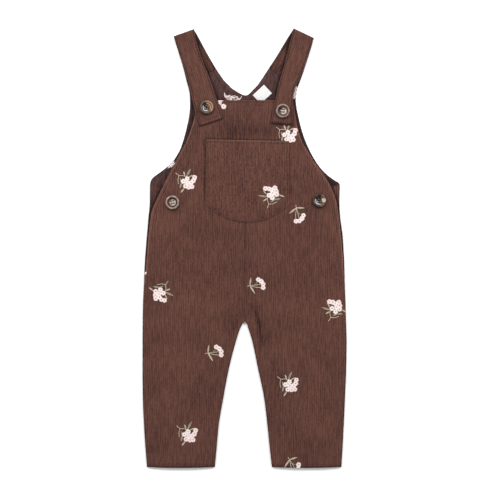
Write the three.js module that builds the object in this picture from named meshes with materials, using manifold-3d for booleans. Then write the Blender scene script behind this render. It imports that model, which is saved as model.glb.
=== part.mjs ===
// Toddler overalls in corduroy, laid flat with the front up: two front and two back panels cut from
// shoulder to hem, a round pocket, two side button stands, two folded straps, a neck label and four
// buttons.
// Millimetres. +X is the viewer's right, +Y runs from the hems to the shoulders and +Z is up.
// The origin is on the surface that the overalls lie on, under the middle of their outline.
import * as THREE from "three";
import { mergeVertices } from "three/addons/utils/BufferGeometryUtils.js";
import Module from "manifold-3d";

const wasm = await Module();
wasm.setup();

// Cloth and seams
const CLOTH = 1.2; // wall of the corduroy
const STRAP_CLOTH = 1.8; // a strap is two layers of it, turned and pressed
const LABEL_CLOTH = 1; // a folded satin label
const SEAM_GAP = 0.3; // between pieces that are sewn or lie together
const LAYER = CLOTH + SEAM_GAP;
const STAND_RISE = CLOTH + 0.35; // that a button stand lifts the front by
const RIDE_GAP = 0.4; // straight up, so that what lies on the sloping front keeps the seam gap

// Main lines of the cut
const CENTRE_X = 0.6; // centre front and centre back seam
const CROTCH_Y = -89;
const HEM_BOW = 1; // how far a hem dips between its seams
const BIB_TOP_Y = 181;
const NECK_Y = 187.2; // lowest point of the back neckline

// Steps of the solids
const FRONT_COLUMNS = 12;
const BACK_COLUMNS = 4;
const STRAP_COLUMNS = 4;
const POCKET_COLUMNS = 14;
const POCKET_ROWS = 10;
const FRONT_STEP = 12; // longest step along a front panel
const BACK_STEP = 12;

// Height that the front stands over the back, never 4 mm clear of it
const CROWN_REACH = 32; // from a seam to the full crown
const BIB_LIFT = 1.6; // extra height at the top of the bib
const BIB_LIFT_FROM = 118;
const BIB_LIFT_TO = 168;

// Side button stands, which the back panels carry under the edges of the front
const STAND_WIDTH = 36;
const STAND_BOTTOM_Y = -16;
const STAND_TOP_Y = 79;
const STAND_SLANT = 13; // the top edge drops this much on its way in

// Pocket
const POCKET_CENTRE_X = 3.5;
const POCKET_HALF_WIDTH = 51;
const POCKET_TOP_Y = 132;
const POCKET_TOP_TILT = -0.02; // its top edge falls to the right
const POCKET_BOTTOM_Y = 31.5;
const POCKET_ARC = 68.7; // radius of its bottom edge
const POCKET_SWELL = 0.8;
const POCKET_SWELL_SPAN = 1.6; // of the pocket's height to a half wave, so that it is fullest below the top

// Straps
const FOLD_RADIUS = 1.5; // to the middle of the cloth
const FOLD_STEPS = 6;
const RUN_STEPS = 2; // between two rows of a strap's table

// Label
const LABEL_CORNER = [9.8, 187.3];
const LABEL_TURN = 43; // degrees
const LABEL_LENGTH = 19;
const LABEL_DEPTH = 14.5;

// Buttons
const BUTTON_RADIUS = 8.75;
const BUTTON_SEGMENTS = 24;
const HOLE_RADIUS = 0.95;
const HOLE_OFFSET = 1.6; // from the button's centre, along X and along Y
const HOLE_SEGMENTS = 8;

const tableOf = (names, rows) =>
  rows.map((row) => Object.fromEntries(names.map((name, i) => [name, row[i]])));

// Edges of the two front panels at heights up the garment. The legs of the back panels share them.
const FRONT_ROWS = tableOf(
  ["y", "leftOuter", "leftInner", "rightInner", "rightOuter"],
  [
    [-267, -119.3, -36.4, 33.4, 118.3],
    [-241, -121.4, -33.9, 30.4, 119.9],
    [-216, -123, -31.6, 27.9, 121.2],
    [-185, -124.3, -26.4, 24.2, 122.6],
    [-146, -124.7, -19, 16.2, 124.2],
    [-112, -124.7, -10.1, 9, 124.7],
    [-97, -124.6, -5.1, 4.3, 124.3],
    [-91.5, -124.5, -2.2, 2.4, 124.1],
    [CROTCH_Y, -124.5, CENTRE_X, CENTRE_X, 124],
    [-68, -124.1, CENTRE_X, CENTRE_X, 123.4],
    [-42, -122.9, CENTRE_X, CENTRE_X, 122.4],
    [-24, -121, CENTRE_X, CENTRE_X, 121.3],
    [-4, -119, CENTRE_X, CENTRE_X, 119.6],
    [15, -117.6, CENTRE_X, CENTRE_X, 118],
    [39, -114.7, CENTRE_X, CENTRE_X, 115.2],
    [48, -112.6, CENTRE_X, CENTRE_X, 113.9],
    [56, -109.1, CENTRE_X, CENTRE_X, 112.5],
    [72, -101.7, CENTRE_X, CENTRE_X, 107],
    [90, -92.7, CENTRE_X, CENTRE_X, 96.9],
    [106, -84.2, CENTRE_X, CENTRE_X, 85.3],
    [120, -77, CENTRE_X, CENTRE_X, 76.7],
    [132, -71.1, CENTRE_X, CENTRE_X, 70],
    [149, -64.7, CENTRE_X, CENTRE_X, 64.7],
    [163, -60.8, CENTRE_X, CENTRE_X, 62.1],
    [BIB_TOP_Y, -57.8, CENTRE_X, CENTRE_X, 59.3],
  ],
);

// Outer edges of the back panels above the hips, where they stand out past the front
const BACK_SIDE_ROWS = tableOf(
  ["y", "leftOuter", "rightOuter"],
  [
    [-42, -123, 122.5],
    [-24, -122.4, 122.1],
    [-4, -121, 121.1],
    [15, -119.5, 119.9],
    [39, -117.4, 116.8],
    [56, -115.8, 115.8],
    [79, -115.5, 116.3],
    [84, -114.3, 109.2],
    [89, -109.4, 102.3],
    [93.5, -103, 97.4],
    [98, -97, 93.2],
    [108, -86.8, 86.1],
    [121, -78.9, 79],
    [134, -74.4, 73.4],
    [149, -70.5, 68.6],
    [163, -67.7, 65.3],
    [174, -66.7, 63.2],
    [181, -66.7, 62.5],
  ],
);

// The yoke of each back panel, from the armhole and the neck to the seam of its strap
const YOKE_COLUMNS = ["outerX", "outerY", "innerX", "innerY"];
const YOKE_ROWS = {
  left: tableOf(YOKE_COLUMNS, [
    [-66.7, 181, CENTRE_X, NECK_Y],
    [-67, 187, -5.6, 189.8],
    [-67.6, 191.4, -13, 194.2],
    [-68.4, 195.4, -20.5, 201],
    [-69.3, 199, -27.6, 209],
    [-70.2, 202, -34.3, 218.8],
  ]),
  right: tableOf(YOKE_COLUMNS, [
    [62.5, 181, CENTRE_X, NECK_Y],
    [62.6, 184.4, 4.6, 188.9],
    [62.9, 187.6, 10.6, 194.4],
    [63.3, 190.6, 16.6, 201],
    [63.8, 193.4, 22.8, 210],
    [64.4, 196.2, 29.2, 219.8],
  ]),
};

// Each strap from the yoke seam up to the shoulder fold, and from the fold down to its end. The last
// column is the height of its under face, or how far it is off the bib where "onBib" is 1.
const STRAP_COLUMN_NAMES = ["outerX", "outerY", "innerX", "innerY", "height", "onBib"];
const STRAP_BACK_ROWS = {
  left: tableOf(STRAP_COLUMN_NAMES, [
    [-70.4, 202.3, -34.5, 219.1, 0, 0],
    [-74.9, 220.3, -42.3, 232.2, 0, 0],
    [-79.6, 236.1, -50.2, 246.6, 0, 0],
    [-83.9, 249.2, -57.4, 259.6, 0, 0],
    [-85.8, 256, -61.2, 264.9, 0, 0],
  ]),
  right: tableOf(STRAP_COLUMN_NAMES, [
    [64.6, 196.5, 29.4, 220.1, 0, 0],
    [70.9, 213, 36.2, 230.4, 0, 0],
    [77, 231.5, 43.4, 242.1, 0, 0],
    [81.4, 245.5, 52, 256.2, 0, 0],
    [83.5, 253.9, 58.9, 265.8, 0, 0],
  ]),
};
const FOLDED_HEIGHT = 2 * FOLD_RADIUS; // of a strap's under face just past its fold
const STRAP_FRONT_ROWS = {
  left: tableOf(STRAP_COLUMN_NAMES, [
    [-85.8, 256, -61.2, 264.9, FOLDED_HEIGHT, 0],
    [-81, 240.4, -57.6, 248.9, 2.7, 0],
    [-76, 224.5, -50.9, 229.4, 2.6, 0],
    [-71, 209.3, -44.8, 213.6, 3, 0],
    [-66.9, 194, -39, 197.7, 4.6, 0.4],
    [-63.6, 178.8, -33.8, 182.5, RIDE_GAP, 1],
    [-58.9, 162.9, -28.9, 169, RIDE_GAP, 1],
    [-54.4, 149, -26, 158.8, RIDE_GAP, 1],
  ]),
  right: tableOf(STRAP_COLUMN_NAMES, [
    [83.5, 253.9, 58.9, 265.8, FOLDED_HEIGHT, 0],
    [79.6, 241, 55.3, 251.4, 2.7, 0],
    [74.4, 224.5, 50.5, 232.7, 2.6, 0],
    [68.3, 208.7, 45.5, 214.2, 3, 0],
    [61.4, 195.3, 41, 198.3, 4.6, 0.4],
    [59, 181.8, 37.5, 183.1, RIDE_GAP, 1],
    [59.1, 166.6, 34.2, 168.1, RIDE_GAP, 1],
    [58.8, 150.2, 31.7, 152.7, RIDE_GAP, 1],
  ]),
};

// Full height of the crown up the garment
const CROWN_ROWS = tableOf(
  ["y", "height"],
  [
    [-267, 1.5],
    [-210, 2.4],
    [-120, 2.7],
    [-40, 3],
    [60, 2.9],
    [130, 2],
    [BIB_TOP_Y, 1.6],
  ],
);

// Largest folds of the front: the middle of each, its direction from +X, half its length and width,
// and its height
const FOLDS = tableOf(
  ["x", "y", "degrees", "halfLength", "halfWidth", "height"],
  [
    [17, -96, 105, 34, 6, -1.3],
    [10, -84, 108, 24, 6, 0.9],
    [-17, -92, 78, 26, 7, -0.8],
    [-60, -66, 12, 44, 11, 0.6],
    [64, -78, 168, 40, 12, 0.6],
    [-74, -150, 84, 60, 12, 0.5],
    [72, -168, 96, 54, 12, -0.6],
    [-86, -30, 80, 40, 12, -0.5],
    [88, -22, 98, 44, 12, 0.5],
    [4, 144, 2, 42, 7, -0.7],
    [-30, 12, 86, 34, 10, 0.4],
    [34, 4, 95, 38, 10, -0.4],
  ],
);

const BUTTONS = tableOf(
  ["name", "x", "y", "turn"],
  [
    ["button_strap_left", -45.9, 172, 20],
    ["button_strap_right", 46.5, 167.5, -8],
    ["button_side_left", -88, 56.2, 12],
    ["button_side_right", 91, 58.5, 35],
  ],
);

// Radius and height of the button's section, from the middle of its under face to the middle of its dish
const BUTTON_PROFILE = tableOf(
  ["radius", "height"],
  [
    [0, 0],
    [7, 0],
    [8.1, 0.4],
    [BUTTON_RADIUS, 1.3],
    [BUTTON_RADIUS, 2],
    [8.2, 2.8],
    [7.3, 3.1],
    [6.4, 2.8],
    [5.7, 2.2],
    [4.4, 1.9],
    [0, 1.9],
  ],
);

const MATERIALS = {
  corduroy: new THREE.MeshStandardMaterial({ color: 0x6a4a42, roughness: 0.92, metalness: 0 }),
  label: new THREE.MeshStandardMaterial({ color: 0xf2f2f0, roughness: 0.6, metalness: 0 }),
  button: new THREE.MeshStandardMaterial({ color: 0x3a2a1c, roughness: 0.25, metalness: 0 }),
};

const { clamp, lerp, smoothstep } = THREE.MathUtils;
const signOf = (side) => (side === "left" ? -1 : 1);

// A smooth curve through a column of a table, read at y. Its slopes are limited, so it never
// overshoots a row.
function columnCurve(rows, name) {
  const rises = rows.slice(1).map((row, i) => (row[name] - rows[i][name]) / (row.y - rows[i].y));
  const slopes = rows.map((row, i) => {
    const before = rises[i - 1] ?? rises[i];
    const after = rises[i] ?? rises[i - 1];
    return before * after > 0 ? (2 * before * after) / (before + after) : 0;
  });
  return (y) => {
    const at = clamp(y, rows[0].y, rows.at(-1).y);
    const i = Math.max(0, rows.findIndex((row) => row.y >= at) - 1);
    const span = rows[i + 1].y - rows[i].y;
    const t = (at - rows[i].y) / span;
    const ease = t * t * (3 - 2 * t);
    return (
      lerp(rows[i][name], rows[i + 1][name], ease) +
      span * t * (1 - t) * ((1 - t) * slopes[i] - t * slopes[i + 1])
    );
  };
}

const crownAt = columnCurve(CROWN_ROWS, "height");
const frontEdge = {
  left: { outer: columnCurve(FRONT_ROWS, "leftOuter"), inner: columnCurve(FRONT_ROWS, "leftInner") },
  right: { outer: columnCurve(FRONT_ROWS, "rightOuter"), inner: columnCurve(FRONT_ROWS, "rightInner") },
};
const backSide = {
  left: columnCurve(BACK_SIDE_ROWS, "leftOuter"),
  right: columnCurve(BACK_SIDE_ROWS, "rightOuter"),
};

// Heights up the garment that keep every row of a table and add steps between them
function stations(rows, longest) {
  const heights = [rows[0].y];
  rows.slice(1).forEach((row, i) => {
    const steps = Math.ceil((row.y - rows[i].y) / longest);
    for (let k = 1; k <= steps; k++) heights.push(lerp(rows[i].y, row.y, k / steps));
  });
  return heights;
}

// One fold's height at a point: full along its middle, and gone at its ends and sides
function foldHeight(fold, x, y) {
  const angle = THREE.MathUtils.degToRad(fold.degrees);
  const along = (x - fold.x) * Math.cos(angle) + (y - fold.y) * Math.sin(angle);
  const across = (y - fold.y) * Math.cos(angle) - (x - fold.x) * Math.sin(angle);
  const end = 1 - smoothstep(Math.abs(along), fold.halfLength * 0.35, fold.halfLength);
  return fold.height * end * Math.exp(-((across / fold.halfWidth) ** 2));
}

// How far the under face of the front stands over the back panels and their seam gap
function frontLift(x, y) {
  const edge = frontEdge[x < CENTRE_X ? "left" : "right"];
  const fromSide = Math.max(0, Math.abs(edge.outer(y)) - Math.abs(x));
  const fromCrotch = Math.hypot(x - CENTRE_X, y - CROTCH_Y);
  const fromInseam = y < CROTCH_Y ? Math.max(0, Math.abs(x - edge.inner(y))) : fromCrotch;
  const rise = (distance) => Math.sin((Math.min(1, distance / CROWN_REACH) * Math.PI) / 2);
  const crown = rise(fromSide) * rise(fromInseam);
  const folds = FOLDS.reduce((sum, fold) => sum + foldHeight(fold, x, y), 0);
  const overStand =
    smoothstep(y, STAND_BOTTOM_Y - 36, STAND_BOTTOM_Y - 3) *
    (1 - smoothstep(y, STAND_TOP_Y + 4, STAND_TOP_Y + 36)) *
    (1 - smoothstep(fromSide, STAND_WIDTH + 2, STAND_WIDTH + 26));
  const bib = BIB_LIFT * smoothstep(y, BIB_LIFT_FROM, BIB_LIFT_TO);
  const cover = 1 - overStand / 2;
  return Math.max(0, cover * crown * (crownAt(y) + folds)) + STAND_RISE * overStand + bib;
}

const frontUnder = (x, y) => LAYER + frontLift(x, y);
const frontTop = (x, y) => frontUnder(x, y) + CLOTH;

// Turns a closed geometry's faces outwards, whatever way its sections ran
function facingOut(geometry) {
  const position = geometry.getAttribute("position");
  const [a, b, c] = [new THREE.Vector3(), new THREE.Vector3(), new THREE.Vector3()];
  const index = geometry.index.array;
  let volume = 0;
  for (let i = 0; i < index.length; i += 3) {
    a.fromBufferAttribute(position, index[i]);
    b.fromBufferAttribute(position, index[i + 1]);
    c.fromBufferAttribute(position, index[i + 2]);
    volume += a.dot(b.cross(c));
  }
  if (volume < 0)
    for (let i = 0; i < index.length; i += 3) [index[i + 1], index[i + 2]] = [index[i + 2], index[i + 1]];
  geometry.computeVertexNormals();
  return geometry;
}

// A closed wall through sections. facesAt gives the wall's two points at a section and a share of
// its width.
function wall(sections, columns, facesAt) {
  const wide = columns + 1;
  const layer = sections.length * wide;
  const points = [[], []];
  sections.forEach((section) => {
    for (let i = 0; i < wide; i++)
      facesAt(section, i / columns).forEach((point, face) => points[face].push(...point));
  });
  const index = [];
  const quad = (a, b, c, d) => index.push(a, b, c, a, c, d);
  for (let j = 0; j + 1 < sections.length; j++)
    for (let i = 0; i < columns; i++) {
      const corner = j * wide + i;
      quad(corner, corner + wide, corner + wide + 1, corner + 1);
      quad(layer + corner, layer + corner + 1, layer + corner + wide + 1, layer + corner + wide);
    }
  const rim = [];
  for (let i = 0; i < columns; i++) rim.push(i);
  for (let j = 0; j < sections.length - 1; j++) rim.push(j * wide + columns);
  for (let i = columns; i > 0; i--) rim.push((sections.length - 1) * wide + i);
  for (let j = sections.length - 1; j > 0; j--) rim.push(j * wide);
  rim.forEach((from, k) => {
    const to = rim[(k + 1) % rim.length];
    quad(from, to, layer + to, layer + from);
  });
  const geometry = new THREE.BufferGeometry();
  geometry.setAttribute("position", new THREE.Float32BufferAttribute(points.flat(), 3));
  geometry.setIndex(index);
  return facingOut(geometry);
}

function piece(name, geometry, material) {
  const mesh = new THREE.Mesh(geometry, material);
  mesh.name = name;
  return mesh;
}

const across = (section, share) => [
  lerp(section.outerX, section.innerX, share),
  lerp(section.outerY, section.innerY, share),
];

// The inner edge of a half panel keeps half a seam gap from the centre line
const offCentre = (side, x) => {
  const limit = CENTRE_X + (signOf(side) * SEAM_GAP) / 2;
  return side === "left" ? Math.min(x, limit) : Math.max(x, limit);
};

function levelSection(side, y, outerX) {
  return { outerX, outerY: y, innerX: offCentre(side, frontEdge[side].inner(y)), innerY: y };
}

const hemDip = (y, share) => (y === FRONT_ROWS[0].y ? HEM_BOW * Math.sin(Math.PI * share) : 0);

function frontPanel(side) {
  const heights = stations(FRONT_ROWS, FRONT_STEP);
  const sections = heights.map((y) => levelSection(side, y, frontEdge[side].outer(y)));
  const geometry = wall(sections, FRONT_COLUMNS, (section, share) => {
    const [x, y] = across(section, share);
    const dipped = y - hemDip(y, share);
    return [
      [x, dipped, frontUnder(x, y)],
      [x, dipped, frontTop(x, y)],
    ];
  });
  return piece(`front_${side}`, geometry, MATERIALS.corduroy);
}

// Sections of a run whose two edges are curves through the rows of a table
function curvedSections(rows, stepsEach) {
  const edge = (xName, yName) => {
    const points = rows.map((row) => new THREE.Vector3(row[xName], row[yName], row.height ?? 0));
    return new THREE.CatmullRomCurve3(points);
  };
  const [outer, inner] = [edge("outerX", "outerY"), edge("innerX", "innerY")];
  const steps = (rows.length - 1) * stepsEach;
  return Array.from({ length: steps + 1 }, (_, k) => {
    const t = k / steps;
    const [a, b] = [outer.getPoint(t), inner.getPoint(t)];
    const row = Math.min(rows.length - 2, Math.floor(t * (rows.length - 1)));
    const onBib = lerp(rows[row].onBib ?? 0, rows[row + 1].onBib ?? 0, t * (rows.length - 1) - row);
    return { outerX: a.x, outerY: a.y, innerX: b.x, innerY: b.y, height: a.z, onBib };
  });
}

function backPanel(side) {
  const legRows = FRONT_ROWS.filter((row) => row.y < BACK_SIDE_ROWS[0].y);
  const legs = stations([...legRows, BACK_SIDE_ROWS[0]], BACK_STEP).slice(0, -1);
  const sections = [
    ...legs.map((y) => levelSection(side, y, frontEdge[side].outer(y))),
    ...stations(BACK_SIDE_ROWS, BACK_STEP)
      .slice(0, -1)
      .map((y) => levelSection(side, y, backSide[side](y))),
    ...curvedSections(YOKE_ROWS[side], 2).map((section) => ({
      ...section,
      innerX: offCentre(side, section.innerX),
    })),
  ];
  const geometry = wall(sections, BACK_COLUMNS, (section, share) => {
    const [x, y] = across(section, share);
    const dipped = y - hemDip(y, share);
    return [
      [x, dipped, 0],
      [x, dipped, CLOTH],
    ];
  });
  return piece(`back_${side}`, geometry, MATERIALS.corduroy);
}

function buttonStand(side) {
  const rows = BACK_SIDE_ROWS.filter((row) => row.y < STAND_TOP_Y);
  const inside = rows.filter((row) => row.y > STAND_BOTTOM_Y);
  const heights = stations([{ y: STAND_BOTTOM_Y }, ...inside, { y: STAND_TOP_Y }], BACK_STEP);
  const sections = heights.map((y) => {
    const outerX = backSide[side](y);
    const drop = STAND_SLANT * smoothstep(y, STAND_BOTTOM_Y, STAND_TOP_Y);
    return { outerX, outerY: y, innerX: outerX - signOf(side) * STAND_WIDTH, innerY: y - drop };
  });
  const geometry = wall(sections, 2, (section, share) => {
    const [x, y] = across(section, share);
    return [
      [x, y, LAYER],
      [x, y, LAYER + CLOTH],
    ];
  });
  return piece(`button_stand_${side}`, geometry, MATERIALS.corduroy);
}

// Top of the pocket cloth's under face: it follows the front and swells towards its open top edge
function pocketUnder(x, y) {
  const share = (x - POCKET_CENTRE_X) / POCKET_HALF_WIDTH;
  const up = clamp((y - POCKET_BOTTOM_Y) / (POCKET_TOP_Y - POCKET_BOTTOM_Y), 0, 1);
  const swell = POCKET_SWELL * (1 - share * share) * Math.sin((up * Math.PI) / POCKET_SWELL_SPAN);
  return frontTop(x, y) + RIDE_GAP + swell;
}

function pocket() {
  const sections = Array.from({ length: POCKET_COLUMNS + 1 }, (_, k) => {
    const offset = lerp(-POCKET_HALF_WIDTH, POCKET_HALF_WIDTH, k / POCKET_COLUMNS);
    const bottom = POCKET_BOTTOM_Y + POCKET_ARC - Math.sqrt(POCKET_ARC ** 2 - offset ** 2);
    const x = POCKET_CENTRE_X + offset;
    return { outerX: x, outerY: bottom, innerX: x, innerY: POCKET_TOP_Y + POCKET_TOP_TILT * offset };
  });
  const geometry = wall(sections, POCKET_ROWS, (section, share) => {
    const [x, y] = across(section, share);
    const under = pocketUnder(x, y);
    return [
      [x, y, under],
      [x, y, under + CLOTH],
    ];
  });
  return piece("pocket", geometry, MATERIALS.corduroy);
}

// Height of a strap's under face, which is free of the bib, on it, or on its way up to it
const strapUnder = (section, x, y) => lerp(section.height, frontTop(x, y) + RIDE_GAP, section.onBib);

function strap(side) {
  const run = (rows, name) =>
    curvedSections(rows[side], RUN_STEPS).map((section) => ({ ...section, run: name }));
  const backRun = run(STRAP_BACK_ROWS, "back");
  const frontRun = run(STRAP_FRONT_ROWS, "front");
  const foldLine = STRAP_FRONT_ROWS[side][0];
  const [width, climb] = [foldLine.innerX - foldLine.outerX, foldLine.innerY - foldLine.outerY];
  const away = new THREE.Vector2(-climb, width).multiplyScalar(Math.sign(width)).normalize();
  const fold = Array.from({ length: FOLD_STEPS - 1 }, (_, k) => {
    const turn = (Math.PI * (k + 1)) / FOLD_STEPS;
    return { ...foldLine, run: "fold", turn };
  });
  const geometry = wall([...backRun, ...fold, ...frontRun], STRAP_COLUMNS, (section, share) => {
    const [x, y] = across(section, share);
    if (section.run === "back")
      return [
        [x, y, STRAP_CLOTH],
        [x, y, 0],
      ];
    if (section.run === "front") {
      const under = strapUnder(section, x, y);
      return [
        [x, y, under],
        [x, y, under + STRAP_CLOTH],
      ];
    }
    const middle = STRAP_CLOTH / 2 + FOLD_RADIUS;
    return [-1, 1].map((face) => {
      const radius = FOLD_RADIUS + (face * STRAP_CLOTH) / 2;
      const reach = radius * Math.sin(section.turn);
      return [x + away.x * reach, y + away.y * reach, middle - radius * Math.cos(section.turn)];
    });
  });
  return piece(`strap_${side}`, geometry, MATERIALS.corduroy);
}

function label() {
  const angle = THREE.MathUtils.degToRad(LABEL_TURN);
  const [along, down] = [
    [Math.cos(angle), Math.sin(angle)],
    [Math.sin(angle), -Math.cos(angle)],
  ];
  const sections = [0, LABEL_LENGTH / 2, LABEL_LENGTH].map((length) => ({
    outerX: LABEL_CORNER[0] + along[0] * length,
    outerY: LABEL_CORNER[1] + along[1] * length,
    innerX: LABEL_CORNER[0] + along[0] * length + down[0] * LABEL_DEPTH,
    innerY: LABEL_CORNER[1] + along[1] * length + down[1] * LABEL_DEPTH,
  }));
  const geometry = wall(sections, 2, (section, share) => {
    const [x, y] = across(section, share);
    return [
      [x, y, LAYER],
      [x, y, LAYER + LABEL_CLOTH],
    ];
  });
  return piece("neck_label", geometry, MATERIALS.label);
}

function solidOf(geometry) {
  const bare = geometry.clone();
  bare.deleteAttribute("normal");
  bare.deleteAttribute("uv");
  const merged = mergeVertices(bare);
  return new wasm.Manifold(
    new wasm.Mesh({
      numProp: 3,
      vertProperties: merged.getAttribute("position").array,
      triVerts: new Uint32Array(merged.index.array),
    }),
  );
}

function geometryOf(solid) {
  const mesh = solid.getMesh();
  const geometry = new THREE.BufferGeometry();
  geometry.setAttribute("position", new THREE.Float32BufferAttribute(mesh.vertProperties, 3));
  geometry.setIndex(Array.from(mesh.triVerts));
  return facingOut(geometry);
}

// A round button with a raised rim and four thread holes, its axis along +Z and its under face at 0
function buttonGeometry() {
  const profile = BUTTON_PROFILE.map((row) => new THREE.Vector2(row.radius, row.height));
  let body = solidOf(new THREE.LatheGeometry(profile, BUTTON_SEGMENTS).rotateX(Math.PI / 2));
  const height = Math.max(...BUTTON_PROFILE.map((row) => row.height));
  for (const i of [-1, 1])
    for (const j of [-1, 1]) {
      const drill = new THREE.CylinderGeometry(HOLE_RADIUS, HOLE_RADIUS, 4 * height, HOLE_SEGMENTS);
      drill.rotateX(Math.PI / 2).translate(i * HOLE_OFFSET, j * HOLE_OFFSET, 0);
      body = body.subtract(solidOf(drill));
    }
  return geometryOf(body);
}

// The height at which a button clears everything under it
function seatHeight(x, y, top) {
  let highest = top(x, y);
  for (let k = 0; k < BUTTON_SEGMENTS; k++) {
    const angle = (2 * Math.PI * k) / BUTTON_SEGMENTS;
    const point = [x + BUTTON_RADIUS * Math.cos(angle), y + BUTTON_RADIUS * Math.sin(angle)];
    highest = Math.max(highest, top(...point));
  }
  return highest + SEAM_GAP;
}

function buttons() {
  const group = new THREE.Group();
  const geometry = buttonGeometry();
  const strapTop = (x, y) => frontTop(x, y) + RIDE_GAP + STRAP_CLOTH;
  BUTTONS.forEach(({ name, x, y, turn }) => {
    const button = piece(name, geometry, MATERIALS.button);
    button.position.set(x, y, seatHeight(x, y, name.includes("strap") ? strapTop : frontTop));
    button.rotation.z = THREE.MathUtils.degToRad(turn);
    group.add(button);
  });
  return group;
}

const overalls = new THREE.Group();
for (const side of ["left", "right"])
  overalls.add(backPanel(side), buttonStand(side), frontPanel(side), strap(side));
overalls.add(pocket(), label(), buttons());

export default overalls;
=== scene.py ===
"""Toddler overalls in fine brown corduroy, laid flat with the front up, with small embroidered flower sprigs."""

import math
import random

import bmesh
import bpy
import numpy as np
from mathutils import Matrix, Vector


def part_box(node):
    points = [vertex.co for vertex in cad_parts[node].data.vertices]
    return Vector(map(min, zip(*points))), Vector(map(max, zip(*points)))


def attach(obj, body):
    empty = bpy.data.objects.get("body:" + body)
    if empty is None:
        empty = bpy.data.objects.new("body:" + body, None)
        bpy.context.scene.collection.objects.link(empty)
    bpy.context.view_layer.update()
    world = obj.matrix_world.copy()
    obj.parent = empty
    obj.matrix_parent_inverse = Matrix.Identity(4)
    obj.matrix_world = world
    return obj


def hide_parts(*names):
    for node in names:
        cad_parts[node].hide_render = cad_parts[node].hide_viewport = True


bl_info = {
    "name": "Toddler corduroy overalls",
    "version": (1, 0, 0),
    "blender": (4, 5, 0),
    "location": "View3D > Sidebar > Overalls",
    "description": "Builds laid-out toddler overalls with ribs, topstitching, embroidery and buttons",
    "category": "Add Mesh",
}

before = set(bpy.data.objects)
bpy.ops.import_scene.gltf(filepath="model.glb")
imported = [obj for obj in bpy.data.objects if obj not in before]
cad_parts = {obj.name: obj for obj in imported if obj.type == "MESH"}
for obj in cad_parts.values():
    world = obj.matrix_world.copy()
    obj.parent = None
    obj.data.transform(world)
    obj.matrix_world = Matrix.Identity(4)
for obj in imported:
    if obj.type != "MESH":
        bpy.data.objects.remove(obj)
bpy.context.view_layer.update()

# Sizes are in millimetres and become metres as a mesh is made
MM = 0.001
SIGN = {"left": -1, "right": 1}  # which way each of the viewer's sides lies

# The cut, as the solids have it
CLOTH = 1.2
STRAP_CLOTH = 1.8
LABEL_CLOTH = 1.0
RIDE_GAP = 0.4
STAND_GAP = 0.35
LAYER = CLOTH + 0.3
SEAM_HALF = 0.02  # the sewn edges meet, where the solids keep apart
CENTRE_X = 0.6
CROTCH_Y = -89
HEM_Y = -267
HEM_BOW = 0.9
HIP_Y = -42
BIB_TOP_Y = 181
NECK_LOW_Y = 187.3
CROWN_REACH = 32
BIB_LIFT = 1.6
STAND_WIDTH = 36
STAND_BOTTOM_Y = -16
STAND_TOP_Y = 79
STAND_SLANT = 13
POCKET_CENTRE_X = 3.5
POCKET_HALF_WIDTH = 51
POCKET_TOP_Y = 132
POCKET_TOP_TILT = -0.02
POCKET_BOTTOM_Y = 31.5
POCKET_ARC = 68.7
POCKET_SWELL = 0.8
FOLD_RADIUS = 1.5
LABEL_CORNER = (9.8, 187.3)
LABEL_RUN = (math.cos(math.radians(43)), math.sin(math.radians(43)))
LABEL_LENGTH = 19
LABEL_DEPTH = 14.5

# Sewing
EDGE_STITCH = 2  # from a finished edge to its row of stitches
STITCH_GAP = 0.9
HEM_STITCH = 2.5
TOP_STITCH = 2.2
STRAP_END_STITCH = 3
NECK_BAND = 4.6
BIB_FACING = 12.6
BACK_PILE_Z = 0.35  # the back's ribs lie this high, so that the embroidery on it has room
STRAP_RIBS_WIDTH = 26.4  # twelve ribs
STRAP_STATIONS = (24, 9, 46)  # behind the shoulder, round the fold and down the front
COLUMNS_PER_RIB = 4
GROOVE_LENGTH = 26  # a groove keeps its depth about this long
FAR = 30  # puts a place out of reach of an edge
HOLE_SHIFT = 1.6
HOLE_RADIUS = 0.85

# Which thread a strand of the embroidery has
PETAL, HEART, LEAF, PALE_LEAF, BLUSH = range(5)

# The stage, with the lamps and the width of the picture in metres
FLOOR_Z = -0.25
LAMPS = (("lamp_left", (-0.95, 1.15, 1.3)), ("lamp_right", (1.05, 1.05, 1.3)))
LAMP_WIDTH = 1.2
PICTURE_WIDTH = 0.61
SENSOR = 36
CAMERA_SHIFT = (6.6, -1.8)


def table(names, *rows):
    """A table with named columns, each an array."""
    return dict(zip(names.split(), np.array(rows, float).T))


FRONT = table(
    "y left_outer left_inner right_inner right_outer",
    (-267, -119.3, -36.4, 33.4, 118.3),
    (-241, -121.4, -33.9, 30.4, 119.9),
    (-216, -123, -31.6, 27.9, 121.2),
    (-185, -124.3, -26.4, 24.2, 122.6),
    (-146, -124.7, -19, 16.2, 124.2),
    (-112, -124.7, -10.1, 9, 124.7),
    (-97, -124.6, -5.1, 4.3, 124.3),
    (-91.5, -124.5, -2.2, 2.4, 124.1),
    (-89, -124.5, 0.6, 0.6, 124),
    (-68, -124.1, 0.6, 0.6, 123.4),
    (-42, -122.9, 0.6, 0.6, 122.4),
    (-24, -121, 0.6, 0.6, 121.3),
    (-4, -119, 0.6, 0.6, 119.6),
    (15, -117.6, 0.6, 0.6, 118),
    (39, -114.7, 0.6, 0.6, 115.2),
    (48, -112.6, 0.6, 0.6, 113.9),
    (56, -109.1, 0.6, 0.6, 112.5),
    (72, -101.7, 0.6, 0.6, 107),
    (90, -92.7, 0.6, 0.6, 96.9),
    (106, -84.2, 0.6, 0.6, 85.3),
    (120, -77, 0.6, 0.6, 76.7),
    (132, -71.1, 0.6, 0.6, 70),
    (149, -64.7, 0.6, 0.6, 64.7),
    (163, -60.8, 0.6, 0.6, 62.1),
    (181, -57.8, 0.6, 0.6, 59.3),
)
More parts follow.
